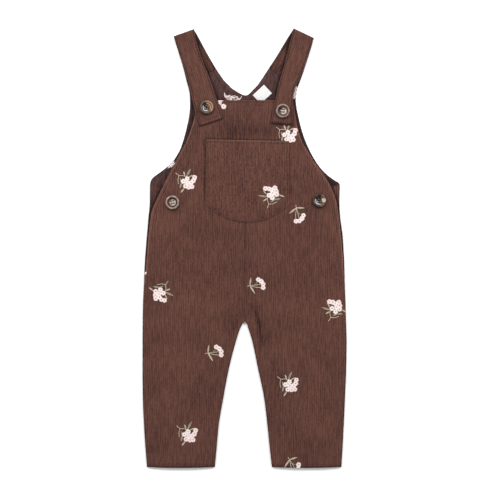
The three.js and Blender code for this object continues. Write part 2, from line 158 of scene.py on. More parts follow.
# The back's outer edge, with its yoke up to the outer end of the strap seam
BACK_OUTER = table(
    "y left right",
    (-42, -123, 122.5),
    (-24, -122.4, 122.1),
    (-4, -121, 121.1),
    (15, -119.5, 119.9),
    (39, -117.4, 116.8),
    (56, -115.8, 115.8),
    (79, -115.5, 116.3),
    (84, -114.3, 109.2),
    (89, -109.4, 102.3),
    (93.5, -103, 97.4),
    (98, -97, 93.2),
    (108, -86.8, 86.1),
    (121, -78.9, 79),
    (134, -74.4, 73.4),
    (149, -70.5, 68.6),
    (163, -67.7, 65.3),
    (174, -66.7, 63.2),
    (181, -66.7, 62.5),
    (189, -67.2, 63),
    (196.5, -68.7, 64.6),
    (202.3, -70.4, 66.3),
)
NECKLINE = {
    "left": table(
        "y x", (187.3, 0.5), (187.5, -1), (188.9, -3.9), (190.8, -7.4), (193.8, -12.3), (196.3, -16), (200.1, -19.6),
        (204.8, -24.5), (209.8, -28.2), (219.1, -34.5),
    ),
    "right": table(
        "y x", (187.3, 0.7), (187.4, 2.2), (188.2, 4.2), (189.6, 6), (192.3, 8.6), (196, 12.2), (199.8, 15.8),
        (205.2, 19.6), (212.2, 24.3), (220.1, 29.4),
    ),
}
STRAP_SEAM = {"left": ((-70.4, 202.3), (-34.5, 219.1)), "right": ((64.6, 196.5), (29.4, 220.1))}

STRAP_COLUMNS = "outer_x outer_y inner_x inner_y height on_bib"
STRAP_BACK = {
    "left": table(
        STRAP_COLUMNS,
        (-70.4, 202.3, -34.5, 219.1, 0, 0),
        (-74.9, 220.3, -42.3, 232.2, 0, 0),
        (-79.6, 236.1, -50.2, 246.6, 0, 0),
        (-84, 249.8, -57.5, 260.2, 0, 0),
        (-86.1, 257.3, -61.2, 266.2, 0, 0),
    ),
    "right": table(
        STRAP_COLUMNS,
        (64.6, 196.5, 29.4, 220.1, 0, 0),
        (70.9, 213, 36.2, 230.4, 0, 0),
        (77, 231.5, 43.4, 242.1, 0, 0),
        (81.5, 245.8, 52.1, 256.7, 0, 0),
        (84, 255.2, 59, 267.2, 0, 0),
    ),
}
STRAP_FRONT = {
    "left": table(
        STRAP_COLUMNS,
        (-86.1, 257.3, -61.2, 266.2, 3, 0),
        (-81, 240.4, -57.6, 248.9, 2.7, 0),
        (-76, 224.5, -50.9, 229.4, 2.6, 0),
        (-71, 209.3, -44.8, 213.6, 3, 0),
        (-66.9, 194, -39, 197.7, 4.6, 0.4),
        (-63.6, 178.8, -33.8, 182.5, 0, 1),
        (-58.9, 162.9, -28.9, 169, 0, 1),
        (-54.4, 149, -26, 158.8, 0, 1),
    ),
    "right": table(
        STRAP_COLUMNS,
        (84, 255.2, 59, 267.2, 3, 0),
        (79.6, 241, 55.3, 251.4, 2.7, 0),
        (74.4, 224.5, 50.5, 232.7, 2.6, 0),
        (68.3, 208.7, 45.5, 214.2, 3, 0),
        (61.4, 195.3, 41, 198.3, 4.6, 0.4),
        (59, 181.8, 37.5, 183.1, 0, 1),
        (59.1, 166.6, 34.2, 168.1, 0, 1),
        (58.8, 150.2, 31.7, 152.7, 0, 1),
    ),
}

CROWN = table("y height", (-267, 1.5), (-210, 2.4), (-120, 2.7), (-40, 3), (60, 2.9), (130, 2), (181, 1.6))

# Folds that the solids have, then the finer creases of the front
FOLD_COLUMNS = "x y degrees half_length half_width height"
FOLDS = table(
    FOLD_COLUMNS,
    (17, -96, 105, 34, 6, -1.3),
    (10, -84, 108, 24, 6, 0.9),
    (-17, -92, 78, 26, 7, -0.8),
    (-60, -66, 12, 44, 11, 0.6),
    (64, -78, 168, 40, 12, 0.6),
    (-74, -150, 84, 60, 12, 0.5),
    (72, -168, 96, 54, 12, -0.6),
    (-86, -30, 80, 40, 12, -0.5),
    (88, -22, 98, 44, 12, 0.5),
    (4, 144, 2, 42, 7, -0.7),
    (-30, 12, 86, 34, 10, 0.4),
    (34, 4, 95, 38, 10, -0.4),
)
CREASES = table(
    FOLD_COLUMNS,
    (14, -78, 104, 26, 2.6, -0.55),
    (19, -110, 110, 20, 3, -0.45),
    (-13, -100, 80, 17, 2.6, -0.4),
    (-9, -74, 66, 13, 3, 0.3),
    (30, -92, 140, 22, 4, 0.35),
    (-34, -84, 30, 24, 4, -0.3),
    (-88, 44, 4, 16, 2.2, -0.5),
    (-84, 38, 172, 13, 2.4, 0.3),
    (92, 45, 176, 15, 2.4, -0.4),
    (-96, -8, 64, 22, 4, 0.3),
    (102, -14, 112, 19, 4, -0.3),
    (-58, -176, 78, 34, 5, -0.3),
    (-92, -200, 96, 28, 5, 0.3),
    (52, -140, 100, 36, 5, 0.3),
    (94, -196, 84, 30, 5, -0.3),
    (76, -118, 20, 22, 5, -0.25),
    (-98, -122, 160, 20, 5, 0.25),
    (-22, 148, 172, 16, 3, -0.35),
    (33, 146, 12, 18, 3, -0.4),
    (-12, 171, 60, 10, 3, 0.2),
    (-66, 108, 62, 20, 4, -0.3),
    (70, 104, 120, 22, 4, -0.3),
    (-62, 64, 80, 20, 4, 0.3),
    (74, 22, 100, 24, 4, 0.25),
    (6, -16, 90, 22, 4, -0.2),
)
# Soft patches of painted shade and light on front and pocket, where height is how much
SHADE_PATCHES = table(
    FOLD_COLUMNS,
    (0, 139, 0, 60, 7, -0.26),
    (0, 152, 0, 46, 14, -0.22),
    (-84, 60, 62, 70, 7, 0.12),
    (92, 52, 116, 60, 7, 0.1),
    (32, -120, 104, 50, 8, -0.1),
    (-30, -122, 78, 44, 9, 0.12),
    (52, -130, 92, 60, 12, -0.06),
    (-88, -150, 88, 110, 16, 0.08),
    (88, -160, 92, 110, 16, 0.08),
    (0, -40, 90, 60, 26, -0.08),
    (0, 20, 0, 90, 10, -0.08),
    (15.6, -84, 107, 12, 1.2, -0.6),
    (18.8, -101, 93, 13, 1.2, -0.55),
    (19.3, -118, 95, 12, 1.4, -0.3),
    (6.5, -69, 140, 9, 1.4, -0.35),
    (-5, -84, 70, 10, 1.6, -0.3),
    (11.5, -92, 108, 9, 2.2, 0.2),
)
POCKET_SHADE_PATCHES = table(
    FOLD_COLUMNS,
    (15, 96, 48, 16, 5, -0.2),
    (-20, 60, 90, 40, 14, 0.06),
    (36, 80, 90, 50, 8, -0.1),
    (-30, 120, 10, 24, 6, 0.1),
)
BACK_CREASES = table(
    FOLD_COLUMNS,
    (-60, -130, 84, 44, 6, 0.2),
    (66, -150, 96, 40, 6, 0.2),
    (-30, -70, 30, 26, 5, 0.2),
    (34, -60, 150, 24, 5, 0.2),
    (-70, 20, 80, 32, 6, 0.2),
    (64, 34, 102, 30, 6, 0.2),
    (8, 100, 88, 30, 5, 0.2),
)
POCKET_CREASES = table(
    FOLD_COLUMNS,
    (-26, 70, 92, 22, 4, 0.3),
    (10, 96, 84, 20, 5, -0.25),
    (30, 104, 70, 14, 4, 0.3),
    (-8, 50, 10, 18, 4, -0.2),
)
STRAP_CREASES = table(
    FOLD_COLUMNS,
    (-63, 208, 20, 11, 3, 0.25),
    (-58, 190, 8, 10, 2.6, -0.25),
    (62, 214, 160, 10, 3, -0.25),
    (54, 192, 174, 11, 2.6, 0.25),
    (-72, 246, 18, 9, 2.4, -0.2),
    (70, 246, 158, 9, 2.4, 0.2),
)

# How dark the back is in the armhole beside the front, how far that reaches, and how dark the button stand is
ARMHOLE_SHADE = {"left": (0.95, 9, 0.4), "right": (1.5, 17, 0.05)}

# Each button with its turn, how much taupe is on its rim, its cream spot (shift from its middle, width and how
# much), the gold cloud on one side (its direction and how much) and how strong the painted reflections, light arcs on
# its lower left, are
BUTTONS = (
    ("button_strap_left", -45.9, 172, 20, (0.25, 0.0, 0.0, 0.0, 0.0, 30, 0.95, 0.9)),
    ("button_strap_right", 46.5, 167.5, -8, (0.85, 0.9, -0.4, 3.6, 1.0, 60, 0.15, 0.1)),
    ("button_side_left", -88, 56.2, 12, (1.0, 0.5, -0.1, 3.7, 0.9, 200, 0.1, 0.0)),
    ("button_side_right", 91, 58.5, 35, (0.1, 5.4, 0.4, 2.4, 1.0, -5, 0.3, 0.85)),
)

# Where each sprig is sewn: its cloth, its middle, and how far it is turned
BOUQUETS = (
    ("front_left", -70.3, 82.4, 0),
    ("pocket", 32.2, 65.3, 110),
    ("front_right", 52.9, 139.3, 4),
    ("front_left", -102, -54.2, -86),
    ("front_right", 109.4, -73.4, 101),
    ("front_left", -69.1, -226.2, 0),
    ("front_right", 54.2, -165.2, 4),
    ("back_left", -52, 96, 0),
    ("back_left", -84, -96, 96),
    ("back_left", -58, -204, -20),
    ("back_right", 72, 60, 20),
    ("back_right", 60, -46, -100),
    ("back_right", 84, -178, 8),
)
SPRIGS = (
    ("front_right", 63.1, 42.1, -84),
    ("front_right", 13.9, -46.4, 0),
    ("front_left", -37.3, -128.6, 0),
    ("front_right", 57.1, -264.8, -65),
    ("front_left", -131.4, -29, 4),
    ("back_left", -30, 20, -40),
    ("back_left", -98, -160, 180),
    ("back_right", 30, 120, 30),
    ("back_right", 100, -100, 200),
)
TUFTS = (("front_left", -26, 174.6, 0),)
# Undersides of sprigs, seen on the inside of the back: width, height, how full, and whether loose ends show
UNDERSIDES = (
    ("back_left_inside", -15, 184.4, -4, 15, 5.6, 0.85, True),
    ("back_left_inside", -90, 103.4, 32, 10, 6, 1, False),
    ("back_right_inside", 61.4, 190.6, 82, 14, 6, 1, False),
)


def length(name, description, size):
    return bpy.props.FloatProperty(name=name, description=description, default=size * MM, subtype="DISTANCE")


def colour(name, description, *rgb):
    return bpy.props.FloatVectorProperty(name=name, description=description, default=rgb, subtype="COLOR")


class ClothSettings(bpy.types.PropertyGroup):
    rib_pitch: length("Rib pitch", "Distance from one rib to the next", 2.2)
    rib_depth: length("Rib depth", "Depth of the deepest grooves", 0.5)
    row_step: length("Row step", "Distance between rows of the mesh", 3)
    pile: colour("Pile", "Colour of the ribs", 0.0782, 0.0324, 0.0239)
    ground: colour("Ground", "Colour in the grooves", 0.0392, 0.0159, 0.012)
    inside: colour("Inside", "Colour of the plain inside", 0.058, 0.0285, 0.027)
    label: colour("Label", "Colour of the neck label", 0.53, 0.53, 0.525)


class SewingSettings(bpy.types.PropertyGroup):
    stitch_length: length("Stitch length", "Length of one stitch", 2.6)
    thread_width: length("Thread width", "Width of the sewing thread", 0.45)
    thread: colour("Sewing thread", "Colour of the sewing thread", 0.069, 0.029, 0.022)
    flower_width: length("Flower width", "Width of one embroidered flower", 6.9)
    petal: colour("Petals", "Colour of the inner flowers", 0.67, 0.58, 0.555)
    blush: colour("Blush", "Colour of the outer flowers", 0.66, 0.53, 0.51)
    leaf: colour("Leaves", "Colour of stems and leaves", 0.235, 0.205, 0.15)


class ButtonSettings(bpy.types.PropertyGroup):
    width: length("Width", "Width across a button", 17.5)
    dark: colour("Dark", "Dark of the tortoiseshell", 0.007, 0.005, 0.004)
    amber: colour("Amber", "Brown in the dark", 0.055, 0.025, 0.012)
    gold: colour("Gold", "Cloud on one side", 0.3, 0.18, 0.1)
    taupe: colour("Taupe", "Colour of the rim", 0.27, 0.19, 0.16)
    cream: colour("Cream", "Light round the holes", 0.46, 0.36, 0.31)
    painted_glint: colour("Painted glint arcs", "Painted reflections in the dark", 0.4, 0.37, 0.365)
    thread: colour("Thread", "Colour of the thread in the holes", 0.12, 0.085, 0.07)


class StageSettings(bpy.types.PropertyGroup):
    floor: colour("Floor", "Colour of the floor", 0.92, 0.92, 0.92)
    lamps: bpy.props.FloatProperty(name="Lamps", description="Power of each lamp", default=31, unit="POWER")
    ambient: bpy.props.FloatProperty(name="Ambient light", description="Strength of the even light", default=0.66)
    lens: bpy.props.FloatProperty(name="Lens", description="Focal length in millimetres", default=100)


def smooth(value, low, high):
    share = np.clip((np.asarray(value, float) - low) / (high - low), 0, 1)
    return share * share * (3 - 2 * share)


def within(value, low, full, leave, high):
    """Rises from 0 at low to 1 at full, and falls from 1 at leave to 0 at high."""
    return smooth(value, low, full) * (1 - smooth(value, leave, high))


def ridge(distance, at, width):
    """A round ridge of height 1 at one distance."""
    return np.exp(-(((distance - at) / width) ** 2))


def nearest(*distances):
    return np.minimum.reduce(distances)


class Line:
    """A smooth line through one column of a table, that never goes past its rows."""

    def __init__(self, at, values):
        self.at, self.values = np.asarray(at, float), np.asarray(values, float)
        rises = np.diff(self.values) / np.diff(self.at)
        before, after = np.r_[rises[0], rises], np.r_[rises, rises[-1]]
        total = np.where(before * after > 0, before + after, 1)
        self.slopes = np.where(before * after > 0, 2 * before * after / total, 0)

    def __call__(self, y):
        y = np.clip(y, self.at[0], self.at[-1])
        i = np.clip(np.searchsorted(self.at, y) - 1, 0, len(self.at) - 2)
        span = self.at[i + 1] - self.at[i]
        t = (y - self.at[i]) / span
        ease = t * t * (3 - 2 * t)
        bend = span * t * (1 - t) * ((1 - t) * self.slopes[i] - t * self.slopes[i + 1])
        return self.values[i] + (self.values[i + 1] - self.values[i]) * ease + bend


FRONT_OUTER = {side: Line(FRONT["y"], FRONT[side + "_outer"]) for side in SIGN}
FRONT_INNER = {side: Line(FRONT["y"], FRONT[side + "_inner"]) for side in SIGN}
BACK_SIDE = {side: Line(BACK_OUTER["y"], BACK_OUTER[side]) for side in SIGN}
NECK = {side: Line(NECKLINE[side]["y"], NECKLINE[side]["x"]) for side in SIGN}
CROWN_LINE = Line(CROWN["y"], CROWN["height"])


def by_side(lines, x, y):
    return np.where(x < CENTRE_X, lines["left"](y), lines["right"](y))


def up_to_centre(side, edge):
    """An inner edge, kept on its own side of the centre seam."""
    limit = CENTRE_X + SIGN[side] * SEAM_HALF
    return np.minimum(edge, limit) if side == "left" else np.maximum(edge, limit)


def folds_at(folds, x, y):
    """The height of all the folds of a table at some points."""
    total = np.zeros(np.broadcast(x, y).shape)
    for fold_x, fold_y, degrees, half_length, half_width, height in zip(*(folds[c] for c in FOLD_COLUMNS.split())):
        angle = math.radians(degrees)
        dx, dy = x - fold_x, y - fold_y
        along = dx * math.cos(angle) + dy * math.sin(angle)
        sideways = dy * math.cos(angle) - dx * math.sin(angle)
        end = 1 - smooth(np.abs(along), half_length * 0.35, half_length)
        total = total + height * end * ridge(sideways, 0, half_width)
    return total


def front_lift(x, y):
    """How far the front's under face stands over its lowest place."""
    outer, inner = by_side(FRONT_OUTER, x, y), by_side(FRONT_INNER, x, y)
    from_side = np.maximum(0, np.abs(outer) - np.abs(x))
    from_crotch = np.hypot(x - CENTRE_X, y - CROTCH_Y)
    from_inseam = np.where(y < CROTCH_Y, np.abs(x - inner), from_crotch)
    over_stand = within(y, STAND_BOTTOM_Y - 36, STAND_BOTTOM_Y - 3, STAND_TOP_Y + 4, STAND_TOP_Y + 36)
    over_stand = over_stand * (1 - smooth(from_side, STAND_WIDTH + 2, STAND_WIDTH + 26))
    crown = CROWN_LINE(y) + folds_at(FOLDS, x, y)
    for distance in (from_side, from_inseam):
        crown = crown * np.sin(np.minimum(1, distance / CROWN_REACH) * math.pi / 2)
    lift = np.maximum(0, (1 - over_stand / 2) * crown) + (CLOTH + STAND_GAP) * over_stand
    return lift + BIB_LIFT * smooth(y, 118, 168)


def front_top(x, y):
    calm = smooth(np.abs(by_side(FRONT_OUTER, x, y) - x), 0, 10)
    return LAYER + front_lift(x, y) + np.maximum(0, folds_at(CREASES, x, y) + 0.3) * calm + CLOTH


def pocket_bottom(x):
    return POCKET_BOTTOM_Y + POCKET_ARC - np.sqrt(POCKET_ARC**2 - (x - POCKET_CENTRE_X) ** 2)


def pocket_top_edge(x):
    return POCKET_TOP_Y + POCKET_TOP_TILT * (x - POCKET_CENTRE_X)


def pocket_under(x, y):
    share = (x - POCKET_CENTRE_X) / POCKET_HALF_WIDTH
    up = np.clip((y - POCKET_BOTTOM_Y) / (POCKET_TOP_Y - POCKET_BOTTOM_Y), 0, 1)
    swell = (1 - share * share) * np.sin(up * math.pi / 1.6)
    creases = np.maximum(0, folds_at(POCKET_CREASES, x, y) + 0.2) * (1 - share * share)
    return front_top(x, y) + RIDE_GAP + (POCKET_SWELL + creases) * swell


def pocket_top(x, y):
    return pocket_under(x, y) + CLOTH


def speckle(i, k, seed):
    """Scattered numbers from 0 to 1 at whole places."""
    n = np.sin(i * 12.9898 + k * 78.233 + seed * 37.719) * 43758.5453
    return n - np.floor(n)


def drift(i, y, seed):
    """A number from 0 to 1 for each rib, that changes slowly along it."""
    k = np.floor(y / GROOVE_LENGTH)
    t = smooth(y / GROOVE_LENGTH - k, 0, 1)
    return speckle(i, k, seed) * (1 - t) + speckle(i, k + 1, seed) * t


def groove(across, along, seed, cloth):
    """How deep the corduroy lies under the tops of its ribs."""
    pitch, deepest = cloth.rib_pitch / MM, cloth.rib_depth / MM
    rib = np.round(across / pitch)
    depth = deepest * (0.3 + 0.7 * drift(rib, along + 17 * speckle(rib, 3, seed), seed) ** 1.4)
    return depth * (1 - np.abs(np.sin(math.pi * across / pitch)) ** 0.8)


def sway(x, y):
    """Ribs wander a little from straight."""
    return 0.4 * np.sin(y * 0.07 + 1.7 * np.sin(x * 0.07)) + 0.12 * np.sin(y * 0.31 + x * 0.2)


def stitch_dip(distance, line=EDGE_STITCH, depth=0.28):
    """A row of stitches pulls the cloth down, and the turned edge beyond it stands up."""
    return 0.22 * smooth(-distance, -line, -line + 1) - depth * ridge(distance, line, 0.6)


def lightness(sewn, rim, reach=1.0, depth=0.5):
    """Painted shade, darker in a row of stitches and along the rim, and a painted highlight, lighter on the turned
    edge.
    """
    return np.clip(sewn * 2.4, -0.8, 0.5) - depth * (1 - smooth(rim, 0.5 * reach, 1.6 * reach))


def edge_roll(distance, thickness=CLOTH):
    """How much each face of a sheet comes in near its rim, so that the rim is round."""
    share = 1 - np.clip(distance / (thickness * 0.6), 0, 1)
    return thickness / 2 * (1 - np.sqrt(np.maximum(0, 1 - share**2 * 0.96)))


def slant(line, y):
    """Turns a distance across into one square to a slanted edge."""
    return 1 / np.sqrt(1 + ((line(y + 1) - line(y - 1)) / 2) ** 2)


def strap_inner_x(side, y):
    """The inner edge of a strap's front stretch."""
    return np.interp(-y, -STRAP_FRONT[side]["inner_y"], STRAP_FRONT[side]["inner_x"])


def crevice_shade(side, x, y):
    """Painted shade on the back in the gap beside the inner edge of a strap and above the bib."""
    beside = 1 - smooth(SIGN[side] * (strap_inner_x(side, y) - x), 0.4, 4.6)
    above = within(y, BIB_TOP_Y - 8, BIB_TOP_Y, BIB_TOP_Y + 0.4, BIB_TOP_Y + 3.4)
    return 0.9 * beside * smooth(y, BIB_TOP_Y - 10, BIB_TOP_Y) + 0.5 * above


def shade_beside_front(side, x, y, reach):
    """Painted shade on what lies under the front, beside its outer edge."""
    beyond = SIGN[side] * (x - FRONT_OUTER[side](y))
    return (1 - smooth(beyond, 0.3, reach)) * within(y, -30, 0, 174, 180)


def shade_around_pocket(x, y):
    """Painted shade on the front close to the pocket, over its mouth and along its sides."""
    beyond = np.abs(x - POCKET_CENTRE_X) - POCKET_HALF_WIDTH
    level = within(y, POCKET_BOTTOM_Y + 14, POCKET_BOTTOM_Y + 30, POCKET_TOP_Y, POCKET_TOP_Y + 3)
    beside = np.where(x < POCKET_CENTRE_X, 0.75, 0.4) * ridge(beyond, 0.8, 1.9) * level
    return beside + 0.6 * ridge(y - pocket_top_edge(x), 0.9, 1.2) * (1 - smooth(beyond, -1, 1))


def round_label(x, y):
    """How dark the back is in the label's shadow, a little below it."""
    dx, dy = x - LABEL_CORNER[0] - 0.4, y - LABEL_CORNER[1] + 1.2
    u = dx * LABEL_RUN[0] + dy * LABEL_RUN[1]
    v = dx * LABEL_RUN[1] - dy * LABEL_RUN[0]
    sizes = ((u, LABEL_LENGTH / 2), (v, LABEL_DEPTH / 2))
    outside = np.hypot(*(np.maximum(0, np.abs(place - half) - half) for place, half in sizes))
    return 0.55 * (1 - smooth(outside, 0.4, 2.6))


def to_mesh(name, bm):
    mesh = bpy.data.meshes.new(name)
    bm.to_mesh(mesh)
    bm.free()
    return mesh


def linked(name, data):
    made = bpy.data.objects.new(name, data)
    bpy.context.scene.collection.objects.link(made)
    return made


def shown_object(name, mesh, materials):
    """One piece of the overalls."""
    for material in materials:
        mesh.materials.append(material)
    mesh.shade_smooth()
    made = linked(name, mesh)
    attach(made, "root")
    return made


def cloth_piece(name, columns, rows, place, materials):
    """A closed sheet. place takes shares across and up and which face, and gives the points and the cloth's own
    coordinates, all in millimetres, and the painted shade and light of the pile. Faces of the first side take the
    second material."""
    bm = bmesh.new()
    bmesh.ops.create_grid(bm, x_segments=columns, y_segments=rows, size=0.5)
    for face in bm.faces:
        face.material_index = 1
    for part in bmesh.ops.extrude_face_region(bm, geom=bm.faces[:])["geom"]:
        if isinstance(part, bmesh.types.BMVert):
            part.co.z = 1
    for face in bm.faces:
        if any(vert.co.z > 0.5 for vert in face.verts):
            face.material_index = 0
    mesh = to_mesh(name + "_flat", bm)
    flat = np.empty(len(mesh.vertices) * 3)
    mesh.vertices.foreach_get("co", flat)
    across, up, raised = flat.reshape(-1, 3).T
    points, own, light = place(across + 0.5, up + 0.5, raised > 0.5)
    mesh.vertices.foreach_set("co", (np.stack(points, 1) * MM).ravel())
    mesh.attributes.new("light", "FLOAT", "POINT").data.foreach_set("value", light)
    corners = np.empty(len(mesh.loops), int)
    mesh.loops.foreach_get("vertex_index", corners)
    mesh.uv_layers.new(name="cloth").uv.foreach_set("vector", (np.stack(own, 1) * MM)[corners].ravel())
    bm = bmesh.new()
    bm.from_mesh(mesh)
    bpy.data.meshes.remove(mesh)
    bmesh.ops.remove_doubles(bm, verts=bm.verts[:], dist=0.01 * MM)
    bmesh.ops.dissolve_degenerate(bm, edges=bm.edges[:], dist=0.002 * MM)
    bmesh.ops.recalc_face_normals(bm, faces=bm.faces[:])
    return shown_object(name, to_mesh(name, bm), materials)


def declare(made, node, slot, width, length, area, *rests_on):
    """Hides the node that a sheet stands for and turns its cut from millimetres and square millimetres into metres,
    which nothing keeps. Its material, slot, is not used.
    """
    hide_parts(node)
    flat = (width * MM, length * MM)
    area * MM * MM


def row_heights(step, *stops):
    """Heights of a panel's rows. Each stop but the last says what share of the step is used above it."""
    heights = []
    for (low, share), (high, _) in zip(stops, stops[1:]):
        heights += np.linspace(low, high, math.ceil((high - low) / (step * share)), endpoint=False).tolist()
    return np.array(heights + [stops[-1][0]])


def level_panel(name, side, stops, outer, inner, faces, materials, cloth):
    """A panel whose ribs run up it. outer and inner give its edges at a height. From a point's place across the
    ribs and its distances to those edges, faces gives the panel's two heights, the relief of its sewing, the
    distance to the nearest free edge and the painted shade and light of the pile."""
    heights = row_heights(cloth.row_step / MM, *stops)
    rows = len(heights) - 1
    order = slice(None, None, -SIGN[side])  # edges go from the viewer's left
    low_x, high_x = (outer, inner)[order]
    step = cloth.rib_pitch / MM / COLUMNS_PER_RIB
    start = math.floor(low_x(heights).min() / step) * step
    columns = math.ceil((high_x(heights).max() - start) / step)

    def place(u, v, upper):
        y = heights[np.round(v * rows).astype(int)]
        low, high = low_x(y), high_x(y)
        across = np.clip(start + u * columns * step, low, high)
        x = across + sway(across, y) * smooth(np.minimum(across - low, high - across), 0, 6)
        to_edges = ((x - low) * slant(low_x, y), (high - x) * slant(high_x, y))
        bow = HEM_BOW * np.sin(math.pi * (x - low) / np.maximum(high - low, 0.1))
        under, top, sewn, rim, shadow = faces(x, y, across, *to_edges[order])
        roll = edge_roll(rim)
        dipped = y - bow * np.clip(1 - (y - HEM_Y) / 12, 0, 1)
        light = lightness(sewn, rim, 0.9, 0.7) + shadow * upper
        return (x, dipped, np.where(upper, top - roll, under + roll)), (across, y), light

    return cloth_piece(name, columns, rows, place, materials)


class Signal:
    """A value on its way through a finish. Arithmetic on it adds the nodes."""

    def __init__(self, finish, socket):
        self.finish, self.socket = finish, socket

    def maths(self, operation, *values):
        return self.finish.add("ShaderNodeMath", {"operation": operation}, dict(enumerate(values)))

    def __add__(self, other):
        return self.maths("ADD", self, other)

    def __mul__(self, other):
        return self.maths("MULTIPLY", self, other)

    def __rsub__(self, other):
        return self.maths("SUBTRACT", other, self)

    def __abs__(self):
        return self.maths("ABSOLUTE", self)

    def sine(self):
        return self.maths("SINE", self)

    def between(self, low, high, to_low=0.0, to_high=1.0):
        values = {"Value": self, "From Min": low, "From Max": high, "To Min": to_low, "To Max": to_high}
        return self.finish.add("ShaderNodeMapRange", {"interpolation_type": "SMOOTHSTEP"}, values)


class Finish:
    """A material and the nodes that make its finish."""

    def __init__(self, name, **sockets):
        self.material = bpy.data.materials.new(name)
        self.material.use_nodes = True
        self.nodes, self.links = self.material.node_tree.nodes, self.material.node_tree.links
        self.on_shader(**sockets)

    def on_shader(self, **sockets):
        for socket, value in sockets.items():
            self.set(self.nodes["Principled BSDF"].inputs[socket.replace("_", " ")], value)
        return self.material

    def set(self, socket, value):
        if isinstance(value, Signal):
            self.links.new(value.socket, socket)
        elif socket.type == "RGBA":
            socket.default_value = (*value, 1)
        else:
            socket.default_value = value

    def add(self, kind, settings, values, output=0):
        """A node, with its settings made before its sockets get values or links."""
        node = self.nodes.new(kind)
        for name, setting in settings.items():
            setattr(node, name, setting)
        for socket, value in values.items():
            self.set(node.inputs[socket], value)
        return Signal(self, node.outputs[output])

    def ramp(self, value, *stops):
        """Colours for a value, each at its place from 0 to 1."""
        ramp = self.add("ShaderNodeValToRGB", {}, {0: value})
        elements = ramp.socket.node.color_ramp.elements
        while len(elements) < len(stops):
            elements.new(0.5)
        for element, (position, color) in zip(elements, stops):
            element.position, element.color = position, (*color, 1)
        return ramp

    def mix(self, factor, a, b):
        return self.add("ShaderNodeMix", {"data_type": "RGBA"}, {0: factor, 6: a, 7: b}, output=2)

    def vector(self, operation, *values, output="Vector"):
        return self.add("ShaderNodeVectorMath", {"operation": operation}, dict(enumerate(values)), output)

    def noise(self, place, scale=1.0, detail=2.0, roughness=0.5):
        if isinstance(place, tuple):
            place = self.add("ShaderNodeCombineXYZ", {}, dict(enumerate(place)))
        values = {"Vector": place, "Scale": scale, "Detail": detail, "Roughness": roughness}
        return self.add("ShaderNodeTexNoise", {}, values)

    def where(self):
        return self.add("ShaderNodeTexCoord", {}, {}, "Object")

    def own(self):
        """The cloth's own coordinates, across and along its ribs, in millimetres."""
        uv = self.add("ShaderNodeUVMap", {"uv_map": "cloth"}, {})
        return [self.add("ShaderNodeSeparateXYZ", {}, {0: uv}, axis) * (1 / MM) for axis in "XY"]

    def painted_light(self):
        """The cloth's painted shade and light, from its light attribute, at a point."""
        return self.add("ShaderNodeAttribute", {"attribute_name": "light"}, {}, "Fac")

    def bump(self, height, strength, distance):
        return self.add("ShaderNodeBump", {}, {"Strength": strength, "Distance": distance, "Height": height})


def shade(color, factor):
    return tuple(min(1, c * factor) for c in color)


def corduroy(piece, cloth, light=1.0, crush=0.2):
    """Crushed pile on ribs, with the ground of the cloth and painted shade dark between them. light makes darker
    copies of the same pile for the stands and straps, as painted shade.
    """
    finish = Finish(f"Corduroy of the {piece}", Roughness=0.95, Sheen_Weight=0.12, Sheen_Roughness=0.45)
    finish.on_shader(Sheen_Tint=(0.75, 0.6, 0.55), Specular_IOR_Level=0.15)
    across, along = finish.own()
    # rib darkens the grooves and lightens the rib tops: the ground's own darker colour, with painted shade in the
    # grooves and painted light on the tops
    rib = abs((across * (math.pi / (cloth.rib_pitch / MM))).sine())
    streak = finish.noise((across * 0.5, along * 0.06, 0.0), roughness=0.6).between(0.36, 0.66)
    crushed = finish.noise((across * 0.8, along * 0.3, 5.0)).between(0.38, 0.64)
    broad = finish.noise((across * 0.02, along * 0.02, 9.0)).between(0.3, 0.7)
    # The tone takes in the painted shade and light from the cloth's light attribute
    tone = rib * 0.3 + streak * 0.32 + crushed * crush + broad * 0.16 + finish.painted_light() * 0.5 + (0.14 - crush / 2)
    pile = shade(cloth.pile, light)
    stops = [(0.0, shade(cloth.ground, light * 0.4)), (0.11, shade(cloth.ground, light))]
    stops += [(0.26, shade(pile, 0.88)), (0.5, shade(pile, 1.4)), (1.0, shade(pile, 3))]
    fibre = finish.noise((across * 2.4, along * 0.9, 0.0), detail=3, roughness=0.7)
    return finish.on_shader(Base_Color=finish.ramp(tone * 0.5, *stops), Normal=finish.bump(fibre, 0.35, 0.25 * MM))


def twill(piece, cloth):
    """The plain inside of corduroy, a fine slanted weave."""
    finish = Finish(f"Inside of the {piece}", Roughness=0.95, Specular_IOR_Level=0.15)
    across, along = finish.own()
    weave = abs(((across + along * 0.6) * 5.2).sine())
    slub = finish.noise((across * 0.35, along * 0.08, 3.0), detail=3).between(0.32, 0.68)
    # The tone takes in the painted shade and light from the cloth's light attribute
    tone = weave * 0.3 + slub * 0.7 + finish.painted_light() * 0.5
    stops = [(place, shade(cloth.inside, light)) for place, light in ((0.0, 0.3), (0.25, 0.6), (1.0, 1.15))]
    return finish.on_shader(Base_Color=finish.ramp(tone, *stops), Normal=finish.bump(weave + slub, 0.3, 0.15 * MM))


def thread_finish(name, color, spread, gloss):
    """Twisted thread with a soft shine, a little lighter and darker from strand to strand."""
    finish = Finish(name, Roughness=gloss, Sheen_Weight=0.1)
    where = finish.where()
    patch = finish.noise(where, scale=420).between(0.3, 0.7)
    fibre = finish.noise(where, scale=3200)
    tint = finish.ramp(patch * 0.7 + fibre * 0.3, (0.0, shade(color, 1 - spread)), (1.0, shade(color, 1 + spread)))
    return finish.on_shader(Base_Color=tint, Normal=finish.bump(fibre, 0.4, 0.08 * MM))


